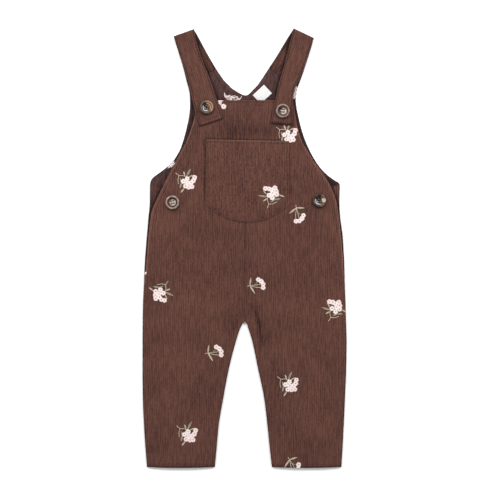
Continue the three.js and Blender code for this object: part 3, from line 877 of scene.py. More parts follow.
def satin(name, color):
    """Close satin weave of the label."""
    finish = Finish(name, Roughness=0.5, Sheen_Weight=0.1)
    across, along = finish.own()
    rows = abs((along * 7.5).sine())
    cloudy = finish.noise((across * 0.4, along * 0.4, 0.0)).between(0.3, 0.7)
    tint = finish.ramp(rows * 0.5 + cloudy * 0.5, (0.0, shade(color, 0.92)), (1.0, shade(color, 1.05)))
    return finish.on_shader(Base_Color=tint, Normal=finish.bump(rows, 0.2, 0.08 * MM))


class OVERALLS_OT_back(bpy.types.Operator):
    """The two back panels, ribs down on the surface, with the yoke up to the straps"""

    bl_idname = "overalls.back"
    bl_label = "Back panels"

    def execute(self, context):
        cloth = context.scene.overalls_cloth
        materials = (twill("back", cloth), corduroy("back", cloth))
        for side, sign in SIGN.items():
            (seam_x0, seam_y0), (seam_x1, seam_y1) = STRAP_SEAM[side]

            def outer(y):
                legs = np.where(y < HIP_Y, FRONT_OUTER[side](y), BACK_SIDE[side](y))
                seam = seam_x0 + (y - seam_y0) * (seam_x1 - seam_x0) / (seam_y1 - seam_y0)
                return np.where(y > seam_y0, seam, legs)

            def inner(y):
                edge = np.where(y > CROTCH_Y, CENTRE_X + sign * SEAM_HALF, FRONT_INNER[side](y))
                return up_to_centre(side, np.where(y > NECK[side].at[0], NECK[side](y), edge))

            def faces(x, y, across, to_outer, to_inner):
                armhole = to_outer + FAR * (1 - within(y, 74, 84, seam_y0 - 3, seam_y0))
                neck = to_inner + FAR * (1 - smooth(y, 184, 190))
                band = stitch_dip(armhole) + stitch_dip(neck, NECK_BAND) + stitch_dip(y - HEM_Y, HEM_STITCH)
                under = BACK_PILE_Z + groove(across, y, 4, cloth)
                under = under + np.maximum(0, folds_at(BACK_CREASES, x, y)) * 0.5
                side_edge = to_outer + FAR * smooth(y, seam_y0 - 1, seam_y0)
                sewn_centre = smooth(y, CROTCH_Y - 2, CROTCH_Y + 2) * (y < NECK_LOW_Y - 0.1)
                rim = nearest(side_edge, to_inner + FAR * sewn_centre, y - HEM_Y)
                share, reach, _ = ARMHOLE_SHADE[side]
                # Painted shade on the back: beside the straps' inner edges and above the bib, under the label, and
                # beside the front in the armhole
                painted_shade = crevice_shade(side, x, y) + round_label(x, y) + share * shade_beside_front(side, x, y, reach)
                return under, CLOTH + np.maximum(-0.2, band), band, rim, -painted_shade

            stops = ((HEM_Y, 1), (-94, 0.2), (CROTCH_Y, 1), (NECK_LOW_Y, 0.15), (194, 0.4), (seam_y1, 1))
            made = level_panel(f"back_{side}_cloth", side, stops, outer, inner, faces, materials, cloth)
            declare(made, f"back_{side}", "corduroy", 126, 488, 48400, "floor")
        return {"FINISHED"}


class OVERALLS_OT_stands(bpy.types.Operator):
    """The button stands of the side openings, folded in under the edges of the front"""

    bl_idname = "overalls.stands"
    bl_label = "Button stands"

    def execute(self, context):
        cloth = context.scene.overalls_cloth
        materials = (corduroy("stands", cloth, 0.96), twill("stands", cloth))
        columns = math.ceil(STAND_WIDTH / (cloth.rib_pitch / MM / COLUMNS_PER_RIB))
        for side, sign in SIGN.items():

            def place(u, v, upper):
                y = STAND_BOTTOM_Y + v * (STAND_TOP_Y - STAND_BOTTOM_Y)
                x = BACK_SIDE[side](y) - sign * u * STAND_WIDTH
                dropped = y - u * STAND_SLANT * smooth(y, STAND_BOTTOM_Y, STAND_TOP_Y)
                to_top = (1 - v) * (STAND_TOP_Y - STAND_BOTTOM_Y)
                rim = np.minimum(np.minimum(u, 1 - u) * STAND_WIDTH, to_top)
                roll = edge_roll(rim)
                top = LAYER + CLOTH - groove(x, y, 6, cloth) - roll
                # Painted highlight along the stand's top edge, painted shade over the stand in the armhole and beside
                # the front's edge
                light = lightness(0, rim, 1.0, 0.6) + 1.1 * ridge(to_top, 1.4, 0.9) - ARMHOLE_SHADE[side][2]
                light = light - 1.2 * shade_beside_front(side, x, dropped, 4.6)
                return (x, dropped, np.where(upper, top, LAYER + roll)), (x, y), light

            made = cloth_piece(f"button_stand_{side}_cloth", columns, 32, place, materials)
            declare(made, f"button_stand_{side}", "corduroy", 43, 95, 3370, f"back_{side}_cloth")
        return {"FINISHED"}


class OVERALLS_OT_front(bpy.types.Operator):
    """The two front panels, each half a bib and a leg"""

    bl_idname = "overalls.front"
    bl_label = "Front panels"

    def execute(self, context):
        cloth = context.scene.overalls_cloth
        materials = (corduroy("front", cloth), twill("front", cloth))
        for side in SIGN:

            def inner(y):
                return up_to_centre(side, FRONT_INNER[side](y))

            def faces(x, y, across, to_outer, to_inner):
                armhole = to_outer + FAR * (1 - smooth(y, -24, -14))
                sewn = stitch_dip(armhole) + stitch_dip(BIB_TOP_Y - y, TOP_STITCH) + stitch_dip(y - HEM_Y, HEM_STITCH)
                sewn = sewn - 0.12 * ridge(BIB_TOP_Y - y, BIB_FACING, 0.7)
                seam = within(y, CROTCH_Y - 4, CROTCH_Y, 40, 52) * (0.35 + 0.65 * smooth(y, -36, 6))
                sewn = sewn - 0.2 * seam * ridge(to_inner, 0, 0.8)
                inside_leg = to_inner + FAR * smooth(y, CROTCH_Y - 2, CROTCH_Y + 2)
                rim = nearest(to_outer, inside_leg, y - HEM_Y, BIB_TOP_Y - y)
                # Painted shade and light: the folds, creases and shade patches, a painted highlight along the outer
                # edge, painted shade round the pocket and painted light and shade across the puckers by the side
                fold_shade = 0.22 * folds_at(FOLDS, x, y) + 0.4 * folds_at(CREASES, x, y) + folds_at(SHADE_PATCHES, x, y)
                painted_light = ridge(to_outer, 1.4, 0.9) * within(y, -70, 0, 150, 176)
                pucker_shade = within(y, 0, 40, 96, 120) * (1 - smooth(to_outer, 3, 15)) * np.cos(to_outer * 2.2)
                shadow = fold_shade + 1.6 * painted_light - shade_around_pocket(x, y) + 0.7 * pucker_shade
                top = front_top(x, y)
                return top - CLOTH, top - groove(across, y, 1, cloth) + sewn, sewn, rim, shadow

            stops = ((HEM_Y, 1), (-94, 0.2), (CROTCH_Y, 1), (130, 0.25), (137, 1), (176, 0.3), (BIB_TOP_Y, 1))
            name = f"front_{side}_cloth"
            made = level_panel(name, side, stops, FRONT_OUTER[side], inner, faces, materials, cloth)
            rests_on = (f"back_{side}_cloth", f"button_stand_{side}_cloth")
            declare(made, f"front_{side}", "corduroy", 126, 450, 46000, *rests_on)
        return {"FINISHED"}


class OVERALLS_OT_pocket(bpy.types.Operator):
    """The pocket, sewn on over the centre seam"""

    bl_idname = "overalls.pocket"
    bl_label = "Pocket"

    def execute(self, context):
        cloth = context.scene.overalls_cloth
        materials = (corduroy("pocket", cloth, 1.0, 0.34), twill("pocket", cloth))
        columns = math.ceil(2 * POCKET_HALF_WIDTH / (cloth.rib_pitch / MM / COLUMNS_PER_RIB))

        def place(u, v, upper):
            x = POCKET_CENTRE_X + (2 * u - 1) * POCKET_HALF_WIDTH
            low, high = pocket_bottom(x), pocket_top_edge(x)
            y = low + v * (high - low)
            to_bottom = (y - low) * np.sqrt(1 - ((x - POCKET_CENTRE_X) / POCKET_ARC) ** 2)
            to_top = high - y
            to_side = POCKET_HALF_WIDTH - np.abs(x - POCKET_CENTRE_X)
            sewn_edge = np.minimum(to_bottom, to_side)
            pressed = 1 - smooth(sewn_edge, 0, 3.4)
            roll = edge_roll(to_top + FAR * pressed)
            sewn = stitch_dip(sewn_edge, depth=0.16) + stitch_dip(to_top, TOP_STITCH)
            under = pocket_under(x, y) - 0.36 * pressed
            top = under + CLOTH - groove(x, y, 2, cloth) + sewn - roll - 0.95 * (1 - smooth(sewn_edge, -0.4, 4.2))
            # Painted shade along the pocket's sides, a painted highlight under its top edge, painted light along its
            # bottom that takes back some of its shadow, and painted shade patches
            side_shade = ridge(to_side, 0, 1.3) * smooth(y, POCKET_BOTTOM_Y + 20, POCKET_BOTTOM_Y + 40)
            painted_light = 0.9 * ridge(to_top, 1.1, 0.9) + 0.75 * ridge(to_bottom, 0, 1.5)
            light = lightness(sewn, to_top, 1.0, 0.2) + painted_light - np.where(x < 0, 0.7, 0.35) * side_shade
            light = light + folds_at(POCKET_SHADE_PATCHES, x, y)
            bent = x + sway(x, y) * smooth(to_side, 0, 6)
            return (bent, y, np.where(upper, np.maximum(top, under + 0.12), under + roll)), (x, y), light

        made = cloth_piece("pocket_cloth", columns, 36, place, materials)
        declare(made, "pocket", "corduroy", 102, 101.5, 9750, "front_left_cloth", "front_right_cloth")
        return {"FINISHED"}


def spline(values, steps):
    """A smooth line through values, at evenly spaced places."""
    t = np.linspace(0, len(values) - 1, steps)
    i = np.clip(np.floor(t).astype(int), 0, len(values) - 2)
    s = t - i
    padded = np.r_[2 * values[0] - values[1], values, 2 * values[-1] - values[-2]]
    a, b, c, d = (padded[i + k] for k in range(4))
    return 0.5 * (2 * b + (c - a) * s + (2 * a - 5 * b + 4 * c - d) * s**2 + (3 * b - a - 3 * c + d) * s**3)


class Strap:
    """A strap as a surface, with stations from the yoke seam, over the shoulder fold, to its end."""

    def __init__(self, side):
        behind, bent, before = STRAP_STATIONS
        names = STRAP_COLUMNS.split()
        back = np.array([spline(STRAP_BACK[side][name], behind) for name in names])
        front = np.array([spline(STRAP_FRONT[side][name], before) for name in names])
        rows = np.concatenate([back, np.repeat(front[:, :1], bent, 1), front], 1)
        self.outer, self.inner, self.height, self.on_bib = rows[:2].T, rows[2:4].T, rows[4], np.clip(rows[5], 0, 1)
        self.turn = np.r_[np.zeros(behind), math.pi * np.arange(1, bent + 1) / (bent + 1), np.full(before, math.pi)]
        edge = self.outer[behind] - self.inner[behind]
        away = np.array([-edge[1], edge[0]]) / np.hypot(*edge)
        self.away = away * np.sign(away[1])
        steps = np.hypot(*np.diff((self.outer + self.inner) / 2, axis=0).T)
        steps[behind - 1 : behind + bent] = math.pi * FOLD_RADIUS / (bent + 1)
        self.length = np.r_[0, np.cumsum(steps)]
        self.width = np.hypot(*(self.outer - self.inner).T)

    def at(self, u, j):
        """Points in the middle of the cloth at shares across and stations, and the way its outer face looks."""
        x, y = (self.outer[j] + (self.inner[j] - self.outer[j]) * u[:, None]).T
        turn = self.turn[j]
        ridden = front_top(x, y) + RIDE_GAP - self.height[j]
        under = self.height[j] + ridden * self.on_bib[j] + np.maximum(0, folds_at(STRAP_CREASES, x, y) + 0.1)
        z = STRAP_CLOTH / 2 + np.where(turn == math.pi, under, FOLD_RADIUS * (1 - np.cos(turn)))
        lean = np.sin(turn)[:, None] * [*self.away, 0]
        return np.stack([x, y, z], 1) + FOLD_RADIUS * lean, lean - np.cos(turn)[:, None] * [0, 0, 1]


class OVERALLS_OT_straps(bpy.types.Operator):
    """The two straps, folded over at the shoulders and down on to the bib"""

    bl_idname = "overalls.straps"
    bl_label = "Straps"

    def execute(self, context):
        cloth = context.scene.overalls_cloth
        outside = corduroy("straps", cloth, 0.98)
        for side in SIGN:
            strap = Strap(side)
            rows = len(strap.length) - 1

            def place(u, v, upper):
                j = np.round(v * rows).astype(int)
                middle, normal = strap.at(u, j)
                to_side = np.minimum(u, 1 - u) * strap.width[j]
                across, along = u * STRAP_RIBS_WIDTH, strap.length[j]
                to_end = strap.length[-1] - along
                rim = nearest(to_side, to_end, along + 6)
                half = STRAP_CLOTH / 2 - edge_roll(rim, STRAP_CLOTH)
                sewn = stitch_dip(to_side, depth=0.35) + stitch_dip(to_end, STRAP_END_STITCH, depth=0.35)
                relief = half - groove(across, along, 3, cloth) * smooth(rim, 0, 1) + sewn * smooth(rim, 0, 0.8)
                offset = np.where(upper, relief, -half * (0.35 + 0.65 * smooth(along, 0, 5)))
                points = middle + normal * offset[:, None]
                # Painted shade on the strap's back stretch under the fold, deeper beside the front stretch
                shaded = (strap.turn[j] < 1) & ~upper
                painted_shade = (0.45 + crevice_shade(side, middle[:, 0], middle[:, 1])) * shaded
                return points.T, (across, along), lightness(sewn, rim, 1.2, 0.9) - painted_shade

            made = cloth_piece(f"strap_{side}_cloth", 48, rows, place, (outside, outside))
            rests_on = (f"back_{side}_cloth", f"front_{side}_cloth")
            declare(made, f"strap_{side}", "corduroy", 38, 176, 5050, *rests_on)
        return {"FINISHED"}


class OVERALLS_OT_label(bpy.types.Operator):
    """The blank neck label, sewn in at one edge"""

    bl_idname = "overalls.label"
    bl_label = "Neck label"

    def execute(self, context):
        white = satin("Satin of the label", context.scene.overalls_cloth.label)
        run_x, run_y = LABEL_RUN

        def place(u, v, upper):
            across, along = u * LABEL_LENGTH, v * LABEL_DEPTH
            x = LABEL_CORNER[0] + run_x * across + run_y * along
            y = LABEL_CORNER[1] + run_y * across - run_x * along
            rim = nearest(across, LABEL_LENGTH - across, along, LABEL_DEPTH - along)
            roll = edge_roll(rim, LABEL_CLOTH)
            wave = 0.35 * np.sin(v * math.pi) * (0.6 + 0.4 * np.sin(u * 5))
            top = LAYER + LABEL_CLOTH - roll + wave - 0.3 * ridge(across, 1.2, 0.5)
            return (x, y, np.where(upper, top, LAYER + roll)), (across, along), rim * 0

        made = cloth_piece("neck_label_satin", 38, 28, place, (white, white))
        declare(made, "neck_label", "label_satin", 19, 14.5, 275, "back_right_cloth")
        return {"FINISHED"}


class Strands:
    """Small rounded strands of thread, gathered and then made as one mesh. Sizes are in millimetres."""

    def __init__(self, segments=5, rings=4):
        bm = bmesh.new()
        lying = Matrix.Rotation(math.pi / 2, 4, "Y")
        bmesh.ops.create_uvsphere(bm, u_segments=segments, v_segments=rings, radius=0.5, matrix=lying)
        bmesh.ops.triangulate(bm, faces=bm.faces[:])
        bm.verts.index_update()
        self.points = np.array([vert.co[:] for vert in bm.verts])
        self.faces = np.array([[vert.index for vert in face.verts] for face in bm.faces])
        bm.free()
        self.rows = []

    def add(self, x, y, z, size, turn=0.0, tilt=0.0, material=0):
        """A strand of a length, width and height, along its turned and tilted X."""
        self.rows.append((x, y, z, *size, turn, tilt, material))

    def lay(self, start, surface, shown=None):
        """Lays the strands from a place in the list on to a surface, each on its slope, and drops the hidden."""
        rows = np.array(self.rows[start:])
        del self.rows[start:]
        x, y, length, turn = rows[:, 0], rows[:, 1], rows[:, 3], rows[:, 6]
        dx, dy = np.cos(turn) * length / 2, np.sin(turn) * length / 2
        low, high = surface(x - dx, y - dy), surface(x + dx, y + dy)
        rows[:, 2] += (low + high) / 2
        rows[:, 7] = np.arctan2(high - low, length)
        if shown is not None:
            rows = rows[shown(x, y)]
        self.rows += rows.tolist()

    def made(self, name, materials):
        rows = np.array(self.rows)
        x, y, z, length, width, height, turn, tilt, material = rows.T[:, :, None]
        along, across, up = (size * self.points[:, k] for k, size in enumerate((length, width, height)))
        flat = along * np.cos(tilt) - up * np.sin(tilt)
        x = x + flat * np.cos(turn) - across * np.sin(turn)
        y = y + flat * np.sin(turn) + across * np.cos(turn)
        points = np.stack([x, y, z + along * np.sin(tilt) + up * np.cos(tilt)], 2)
        faces = self.faces[None] + np.arange(len(rows))[:, None, None] * len(self.points)
        mesh = bpy.data.meshes.new(name)
        mesh.from_pydata((points.reshape(-1, 3) * MM).tolist(), [], faces.reshape(-1, 3).tolist())
        mesh.polygons.foreach_set("material_index", np.repeat(material[:, 0].astype(int), len(self.faces)))
        return shown_object(name, mesh, materials)


def offset_line(points, distance):
    """A line beside another, on its left where the distance is above 0."""
    run = np.gradient(points, axis=0)
    run = run / np.hypot(*run.T)[:, None]
    return points + np.stack([-run[:, 1], run[:, 0]], 1) * distance


def line_of(x, y):
    """Points from columns of numbers, or from one column and one number."""
    return np.stack(np.broadcast_arrays(np.asarray(x, float), y), 1)


class OVERALLS_OT_topstitching(bpy.types.Operator):
    """The rows of stitches along bib, armholes, neck, pocket, straps and hems"""

    bl_idname = "overalls.topstitching"
    bl_label = "Topstitching"

    def execute(self, context):
        sewing = context.scene.overalls_sewing
        self.thread = thread_finish("Sewing thread", sewing.thread, 0.2, 0.7)
        self.step = sewing.stitch_length / MM + STITCH_GAP
        self.size = (sewing.stitch_length / MM, sewing.thread_width / MM, sewing.thread_width / MM)
        for side, sign in SIGN.items():
            ys = np.arange(-8, BIB_TOP_Y, 3.0)
            lines = [offset_line(line_of(FRONT_OUTER[side](ys), ys), sign * EDGE_STITCH)]
            xs = np.linspace(CENTRE_X, FRONT_OUTER[side](BIB_TOP_Y) - sign * 2.5, 24)
            lines += [line_of(xs, BIB_TOP_Y - drop) for drop in (TOP_STITCH, BIB_FACING)]
            low, high = FRONT_OUTER[side](HEM_Y), FRONT_INNER[side](HEM_Y)
            xs = np.linspace(low - sign * 0.5, high + sign * 0.5, 30)
            bow = HEM_BOW * np.sin(math.pi * (xs - low) / (high - low)) * 0.8
            hem = line_of(xs, HEM_Y + HEM_STITCH - bow)
            self.sew(f"front_{side}", [(line, front_top) for line in (*lines, hem)])
            knots = range(len(NECKLINE[side]["y"]))
            neck = line_of(*(np.interp(np.linspace(0, knots[-1], 40), knots, NECKLINE[side][axis]) for axis in "xy"))
            neck = offset_line(neck, -sign * NECK_BAND)[1:]
            ys = np.arange(82, 202, 3.0)
            armhole = offset_line(line_of(BACK_SIDE[side](ys), ys), sign * EDGE_STITCH)
            upper, lower = (lambda x, y, z=z: np.full(np.shape(x), z) for z in (CLOTH + 0.08, BACK_PILE_Z + 0.1))
            self.sew(f"back_{side}", [(neck, upper), (armhole, upper), (neck, lower), (armhole, lower), (hem, lower)])
            self.sew_strap(side)
        half = POCKET_HALF_WIDTH - EDGE_STITCH
        arc = np.linspace(-half, half, 60) + POCKET_CENTRE_X
        bottom = line_of(arc, pocket_bottom(arc) + EDGE_STITCH * 1.15)
        left = line_of(arc[0], np.linspace(POCKET_TOP_Y - 1, bottom[0][1], 20))
        right = line_of(arc[-1], np.linspace(bottom[-1][1], POCKET_TOP_Y - 2, 20))
        xs = np.linspace(arc[0], arc[-1], 40)
        lines = (np.concatenate([left[:-1], bottom, right[1:]]), line_of(xs, pocket_top_edge(xs) - TOP_STITCH))
        self.sew("pocket", [(line, pocket_top) for line in lines])
        return {"FINISHED"}

    def sew(self, name, lines):
        """Rows of stitches along lines on surfaces, half sunk in them."""
        strands = Strands()
        for points, surface in lines:
            lengths = np.r_[0, np.cumsum(np.hypot(*np.diff(points, axis=0).T))]
            first = len(strands.rows)
            for k in range(int(lengths[-1] / self.step)):
                ends = (k + 0.5) * self.step + np.array([-0.5, 0.5]) * self.size[0]
                (x0, x1), (y0, y1) = (np.interp(ends, lengths, points[:, axis]) for axis in (0, 1))
                strands.add((x0 + x1) / 2, (y0 + y1) / 2, -0.1, self.size, math.atan2(y1 - y0, x1 - x0))
            strands.lay(first, surface)
        strands.made(f"{name}_stitches", [self.thread])

    def sew_strap(self, side):
        """Stitches along both edges of a strap, round its fold, and across its end."""
        strap, strands = Strap(side), Strands()
        sunk = STRAP_CLOTH / 2 - 0.05
        alongs = np.arange(0.5, (strap.length[-1] - STRAP_END_STITCH) / self.step) * self.step
        stations = np.clip(np.searchsorted(strap.length, alongs), 1, len(strap.length) - 2)
        for edge in (EDGE_STITCH, -EDGE_STITCH):
            share = edge / strap.width[stations] % 1
            here, normal = strap.at(share, stations)
            run = here - strap.at(share, stations - 1)[0]
            back = (strap.length[stations] - alongs) / (strap.length[stations] - strap.length[stations - 1])
            at = here - run * back[:, None] + normal * sunk
            tilts = np.arctan2(run[:, 2], np.hypot(run[:, 0], run[:, 1]))
            for point, turn, tilt in zip(at, np.arctan2(run[:, 1], run[:, 0]), tilts):
                strands.add(*point, self.size, turn, tilt)
        last = np.searchsorted(strap.length, strap.length[-1] - STRAP_END_STITCH)
        here, normal = strap.at(0.1 + 0.8 * (np.arange(7) + 0.5) / 7, np.full(7, last))
        run = strap.inner[last] - strap.outer[last]
        for point in here + normal * sunk:
            strands.add(*point, self.size, math.atan2(run[1], run[0]))
        strands.made(f"strap_{side}_stitches", [self.thread])


class OVERALLS_OT_embroidery(bpy.types.Operator):
    """Small flower sprigs in satin stitch, front and back"""

    bl_idname = "overalls.embroidery"
    bl_label = "Embroidery"

    def execute(self, context):
        sewing = context.scene.overalls_sewing
        finishes = [
            thread_finish("Petal thread", sewing.petal, 0.07, 0.45),
            thread_finish("Flower heart thread", shade(sewing.blush, 0.82), 0.08, 0.5),
            thread_finish("Leaf thread", sewing.leaf, 0.2, 0.5),
            thread_finish("Pale leaf thread", shade(sewing.leaf, 1.75), 0.15, 0.5),
            thread_finish("Blush petal thread", sewing.blush, 0.07, 0.45),
        ]
        self.size = sewing.flower_width / MM
        self.rng = random.Random(11)
        pieces = {}
        charts = (self.bouquet, BOUQUETS), (self.sprig, SPRIGS), (self.tuft, TUFTS), (self.underside, UNDERSIDES)
        for chart, rows in charts:
            for cloth, x, y, turn, *more in rows:
                self.piece = pieces.setdefault(cloth.replace("_inside", ""), Strands())
                self.x, self.y, self.turn = x, y, math.radians(turn)
                self.flip = -0.35 if cloth in ("back_left", "back_right") else 1
                first = len(self.piece.rows)
                chart(*more)
                self.piece.lay(first, *self.carrier(cloth))
        for cloth, piece in pieces.items():
            piece.made(f"{cloth}_embroidery", finishes)
        return {"FINISHED"}

    def carrier(self, cloth):
        """The surface that carries a sprig, and where on it the sprig shows."""
        if cloth == "pocket":
            return pocket_top, None
        side = "left" if "left" in cloth else "right"
        sign = SIGN[side]
        if cloth.startswith("back"):
            level, margin = (CLOTH, 0.5) if "inside" in cloth else (BACK_PILE_Z, -0.3)
            on_back = lambda x, y: sign * x < sign * BACK_SIDE[side](y) + margin
            return (lambda x, y: np.full(np.shape(x), level)), on_back

        def shown(x, y):
            in_panel = (y > HEM_Y - HEM_BOW + 0.6) & (y < BIB_TOP_Y - 0.6)
            in_panel = in_panel & (sign * x < sign * FRONT_OUTER[side](y) - 0.4)
            x0, y0, x1, y1 = (STRAP_FRONT[side][name][-1] for name in STRAP_COLUMNS.split()[:4])
            over_end = y > y0 + (x - x0) * (y1 - y0) / (x1 - x0) - 0.6
            return in_panel & ~(over_end & (sign * x > sign * strap_inner_x(side, y) - 0.4))

        return front_top, shown

    def strand(self, x, y, size, turn, lift=0.0, material=0):
        """One strand, at a place in the sprig."""
        c, s = math.cos(self.turn), math.sin(self.turn)
        x, y = self.x + c * x - s * y, self.y + s * x + c * y
        self.piece.add(x, y, lift * self.flip, size, self.turn + turn, material=material)

    def flower(self, x, y, blush=False, scale=1.0):
        """Five padded petals of side-by-side strands round a small heart."""
        radius = self.size / 2 * scale * self.rng.uniform(0.95, 1.08)
        spin = self.rng.uniform(0, 2 * math.pi)
        for petal in range(5):
            for k in (-1.5, -0.5, 0.5, 1.5):
                lean = spin + petal * 2 * math.pi / 5 + k * 0.28
                length = radius * (0.9 - 0.09 * abs(k))
                px, py = x + math.cos(lean) * radius * 0.54, y + math.sin(lean) * radius * 0.54
                size = (length, 0.95 * scale, 0.8)
                self.strand(px, py, size, lean, 0.34 - 0.06 * abs(k), BLUSH if blush else PETAL)
        for k in range(3):
            angle = spin + k * 2.1
            self.strand(x + 0.2 * math.cos(angle), y + 0.2 * math.sin(angle), (0.8, 0.5, 0.5), angle, 0.62, HEART)

    def stalk(self, *points, material=PALE_LEAF):
        """Overlapping slanted stitches from point to point."""
        for (x0, y0), (x1, y1) in zip(points, points[1:]):
            turn = math.atan2(y1 - y0, x1 - x0)
            count = max(2, round(math.hypot(x1 - x0, y1 - y0) / 1.3))
            for k in range(count):
                t, beside = (k + 0.5) / count, 0.1 * (-1) ** k
                px = x0 + (x1 - x0) * t - math.sin(turn) * beside
                py = y0 + (y1 - y0) * t + math.cos(turn) * beside
                self.strand(px, py, (2.1, 0.75, 0.6), turn + 0.14, 0.16, material)

    def leaf(self, x0, y0, x1, y1, width=1.6, material=PALE_LEAF):
        """Strands that leave a midrib on both sides and close at the tip."""
        turn = math.atan2(y1 - y0, x1 - x0)
        count = max(4, round(math.hypot(x1 - x0, y1 - y0) / 0.7))
        for k in range(count):
            t = (k + 0.5) / count
            half = width / 2 * math.sin(math.pi * min(1, t * 0.88 + 0.14))
            for side in (-1, 1):
                lean = turn + side * 0.5
                px = x0 + (x1 - x0) * t + math.cos(lean) * half * 0.4 - math.sin(turn) * side * half * 0.42
                py = y0 + (y1 - y0) * t + math.sin(lean) * half * 0.4 + math.cos(turn) * side * half * 0.42
                self.strand(px, py, (max(1.2, half * 2.4), 0.6, 0.55), lean, 0.2, material)

    def bouquet(self):
        inner = ((-4.2, -0.6), (0.4, 2.6), (1, -2.6), (5.4, -2.6))
        outer = ((-2, -6.6), (2.4, -7.4), (6.4, -7), (8, 0.2), (9.4, 4))
        for k, (x, y) in enumerate(inner + outer):
            self.flower(x + self.rng.uniform(-0.3, 0.3), y + self.rng.uniform(-0.3, 0.3), k >= len(inner))
        self.stalk((-13.8, 9.8), (-9.6, 6.4), (-4.6, 6.4), (-0.8, 5))
        self.stalk((-9.8, 6.2), (-11, 1.4), (-10.4, -3.8))
        self.leaf(-2.4, 6, -4, 11.4, 1.5)
        self.leaf(-0.6, 5.4, 4.4, 14.6, 2.1, LEAF)
        self.leaf(-6.6, -1.4, -8.4, -8.8, 2, LEAF)
        self.leaf(-3.6, -9.4, -7.4, -14.2, 1.5)
        self.leaf(-8, 3.4, -7.2, -2, 1.3, LEAF)
        self.leaf(2.6, 5, 8, 7, 1.2)

    def sprig(self):
        for k, (x, y) in enumerate(((2.8, 8.4), (6.4, 6.2), (8.8, 2.8), (8.8, -1.4))):
            self.flower(x, y, k != 1, 0.95)
        self.stalk((-10.6, 0.4), (-7, 1.1), (-1, 1.8), (5, 2.6))
        self.stalk((-6, 0.7), (0, -0.9), (6.2, -1.4))
        self.stalk((-2, 1.6), (1.4, 5), material=LEAF)
        self.leaf(-7.4, 1.3, -6.2, 10.4, 1.6)
        self.leaf(-7.2, 0.9, -1.6, -8.4, 1.8)

    def tuft(self):
        """One flower of a bouquet and the threads that lead to it from under a strap."""
        self.flower(0.5, -1.6, True, 1.05)
        for k in range(10):
            lean = 0.06 - 0.12 * k
            reach = 6 + 0.9 * math.cos(k)
            px, py = -9 + math.cos(lean) * reach, 6 + math.sin(lean) * reach
            self.strand(px, py, (6.4, 0.8, 0.6), lean, 0.2, (PETAL, BLUSH)[k % 2])

    def underside(self, width, height, fill, tails):
        """Bobbin threads behind a sprig, in loose rows, and the ends of a leaf and a stalk beyond them."""
        lift = 0.3 if tails else 1.0
        for level in np.arange(-height / 2, height / 2, 0.8):
            x = -width / 2 + self.rng.uniform(0, 2)
            while x < width / 2:
                size = (self.rng.uniform(2.6, 5), 0.85, 0.55)
                if self.rng.random() < fill:
                    lean = self.rng.gauss(0, 0.26)
                    self.strand(x, level + 0.5 * math.sin(x), size, lean, lift, (PETAL, BLUSH)[level > 1])
                x += size[0] * 0.75
        if tails:
            self.leaf(-width / 2 - 1, -0.6, -width / 2 - 2.6, height / 2 + 2.4, 1.4, BLUSH)
            self.stalk((width / 2, -1.4), (width / 2 + 2.4, -1), (width / 2 + 3.6, 2.4), material=PETAL)


def tortoiseshell(name, button, x, y, look):
    """Near black with a taupe rim, a cream spot, a gold cloud and painted reflections as light arcs, under a thin
    clear gloss.
    """
    rim_share, spot_x, spot_y, spot_reach, spot_share, turn, gold_share, glint_share = look
    finish = Finish(name, Roughness=0.4, Coat_Weight=0.12, Coat_Roughness=0.08, Specular_IOR_Level=0.1)
    where = finish.where()
    flat = finish.vector("MULTIPLY_ADD", where, (1 / MM, 1 / MM, 0), (-x, -y, 0))
    radius = finish.vector("LENGTH", flat, output="Value")
    from_spot = finish.vector("LENGTH", finish.vector("SUBTRACT", flat, (spot_x, spot_y, 0)), output="Value")
    swirl = finish.noise(finish.vector("ADD", where, (x, y, 0)), 240, 3, 0.6)
    fleck = finish.noise(finish.vector("ADD", where, (y, x, 0)), 620)
    rim = radius.between(5.9, 6.5) * (1 - radius.between(8.1, 8.7)) * swirl.between(0.3, 0.6, 0.45, 1) * rim_share
    spot = 1 - from_spot.between(spot_reach - 0.9, spot_reach + 0.9)
    spot = spot * fleck.between(0.28, 0.5, 0.4, 1) * spot_share
    arcs = abs((radius * 1.4 + swirl * 3.0).sine()).between(0.4, 0.85)

    def toward(degrees):
        way = (math.cos(math.radians(degrees)), math.sin(math.radians(degrees)), 0)
        return finish.vector("DOT_PRODUCT", flat, way, output="Value")

    gold = toward(turn).between(0.8, 3.2) * arcs.between(0, 1, 0.3, 1) * (1 - radius.between(7.6, 8.4)) * gold_share
    # Painted reflections: light arcs on the lower left of the dish
    painted_glint = toward(225).between(0.8, 3.0) * arcs * (1 - radius.between(5.4, 6.6)) * glint_share
    color = finish.mix(swirl.between(0.45, 0.7), button.dark, button.amber)
    for factor, over in ((rim, button.taupe), (gold, button.gold), (painted_glint, button.painted_glint), (spot, button.cream)):
        color = finish.mix(factor, color, over)
    return finish.on_shader(Base_Color=color)


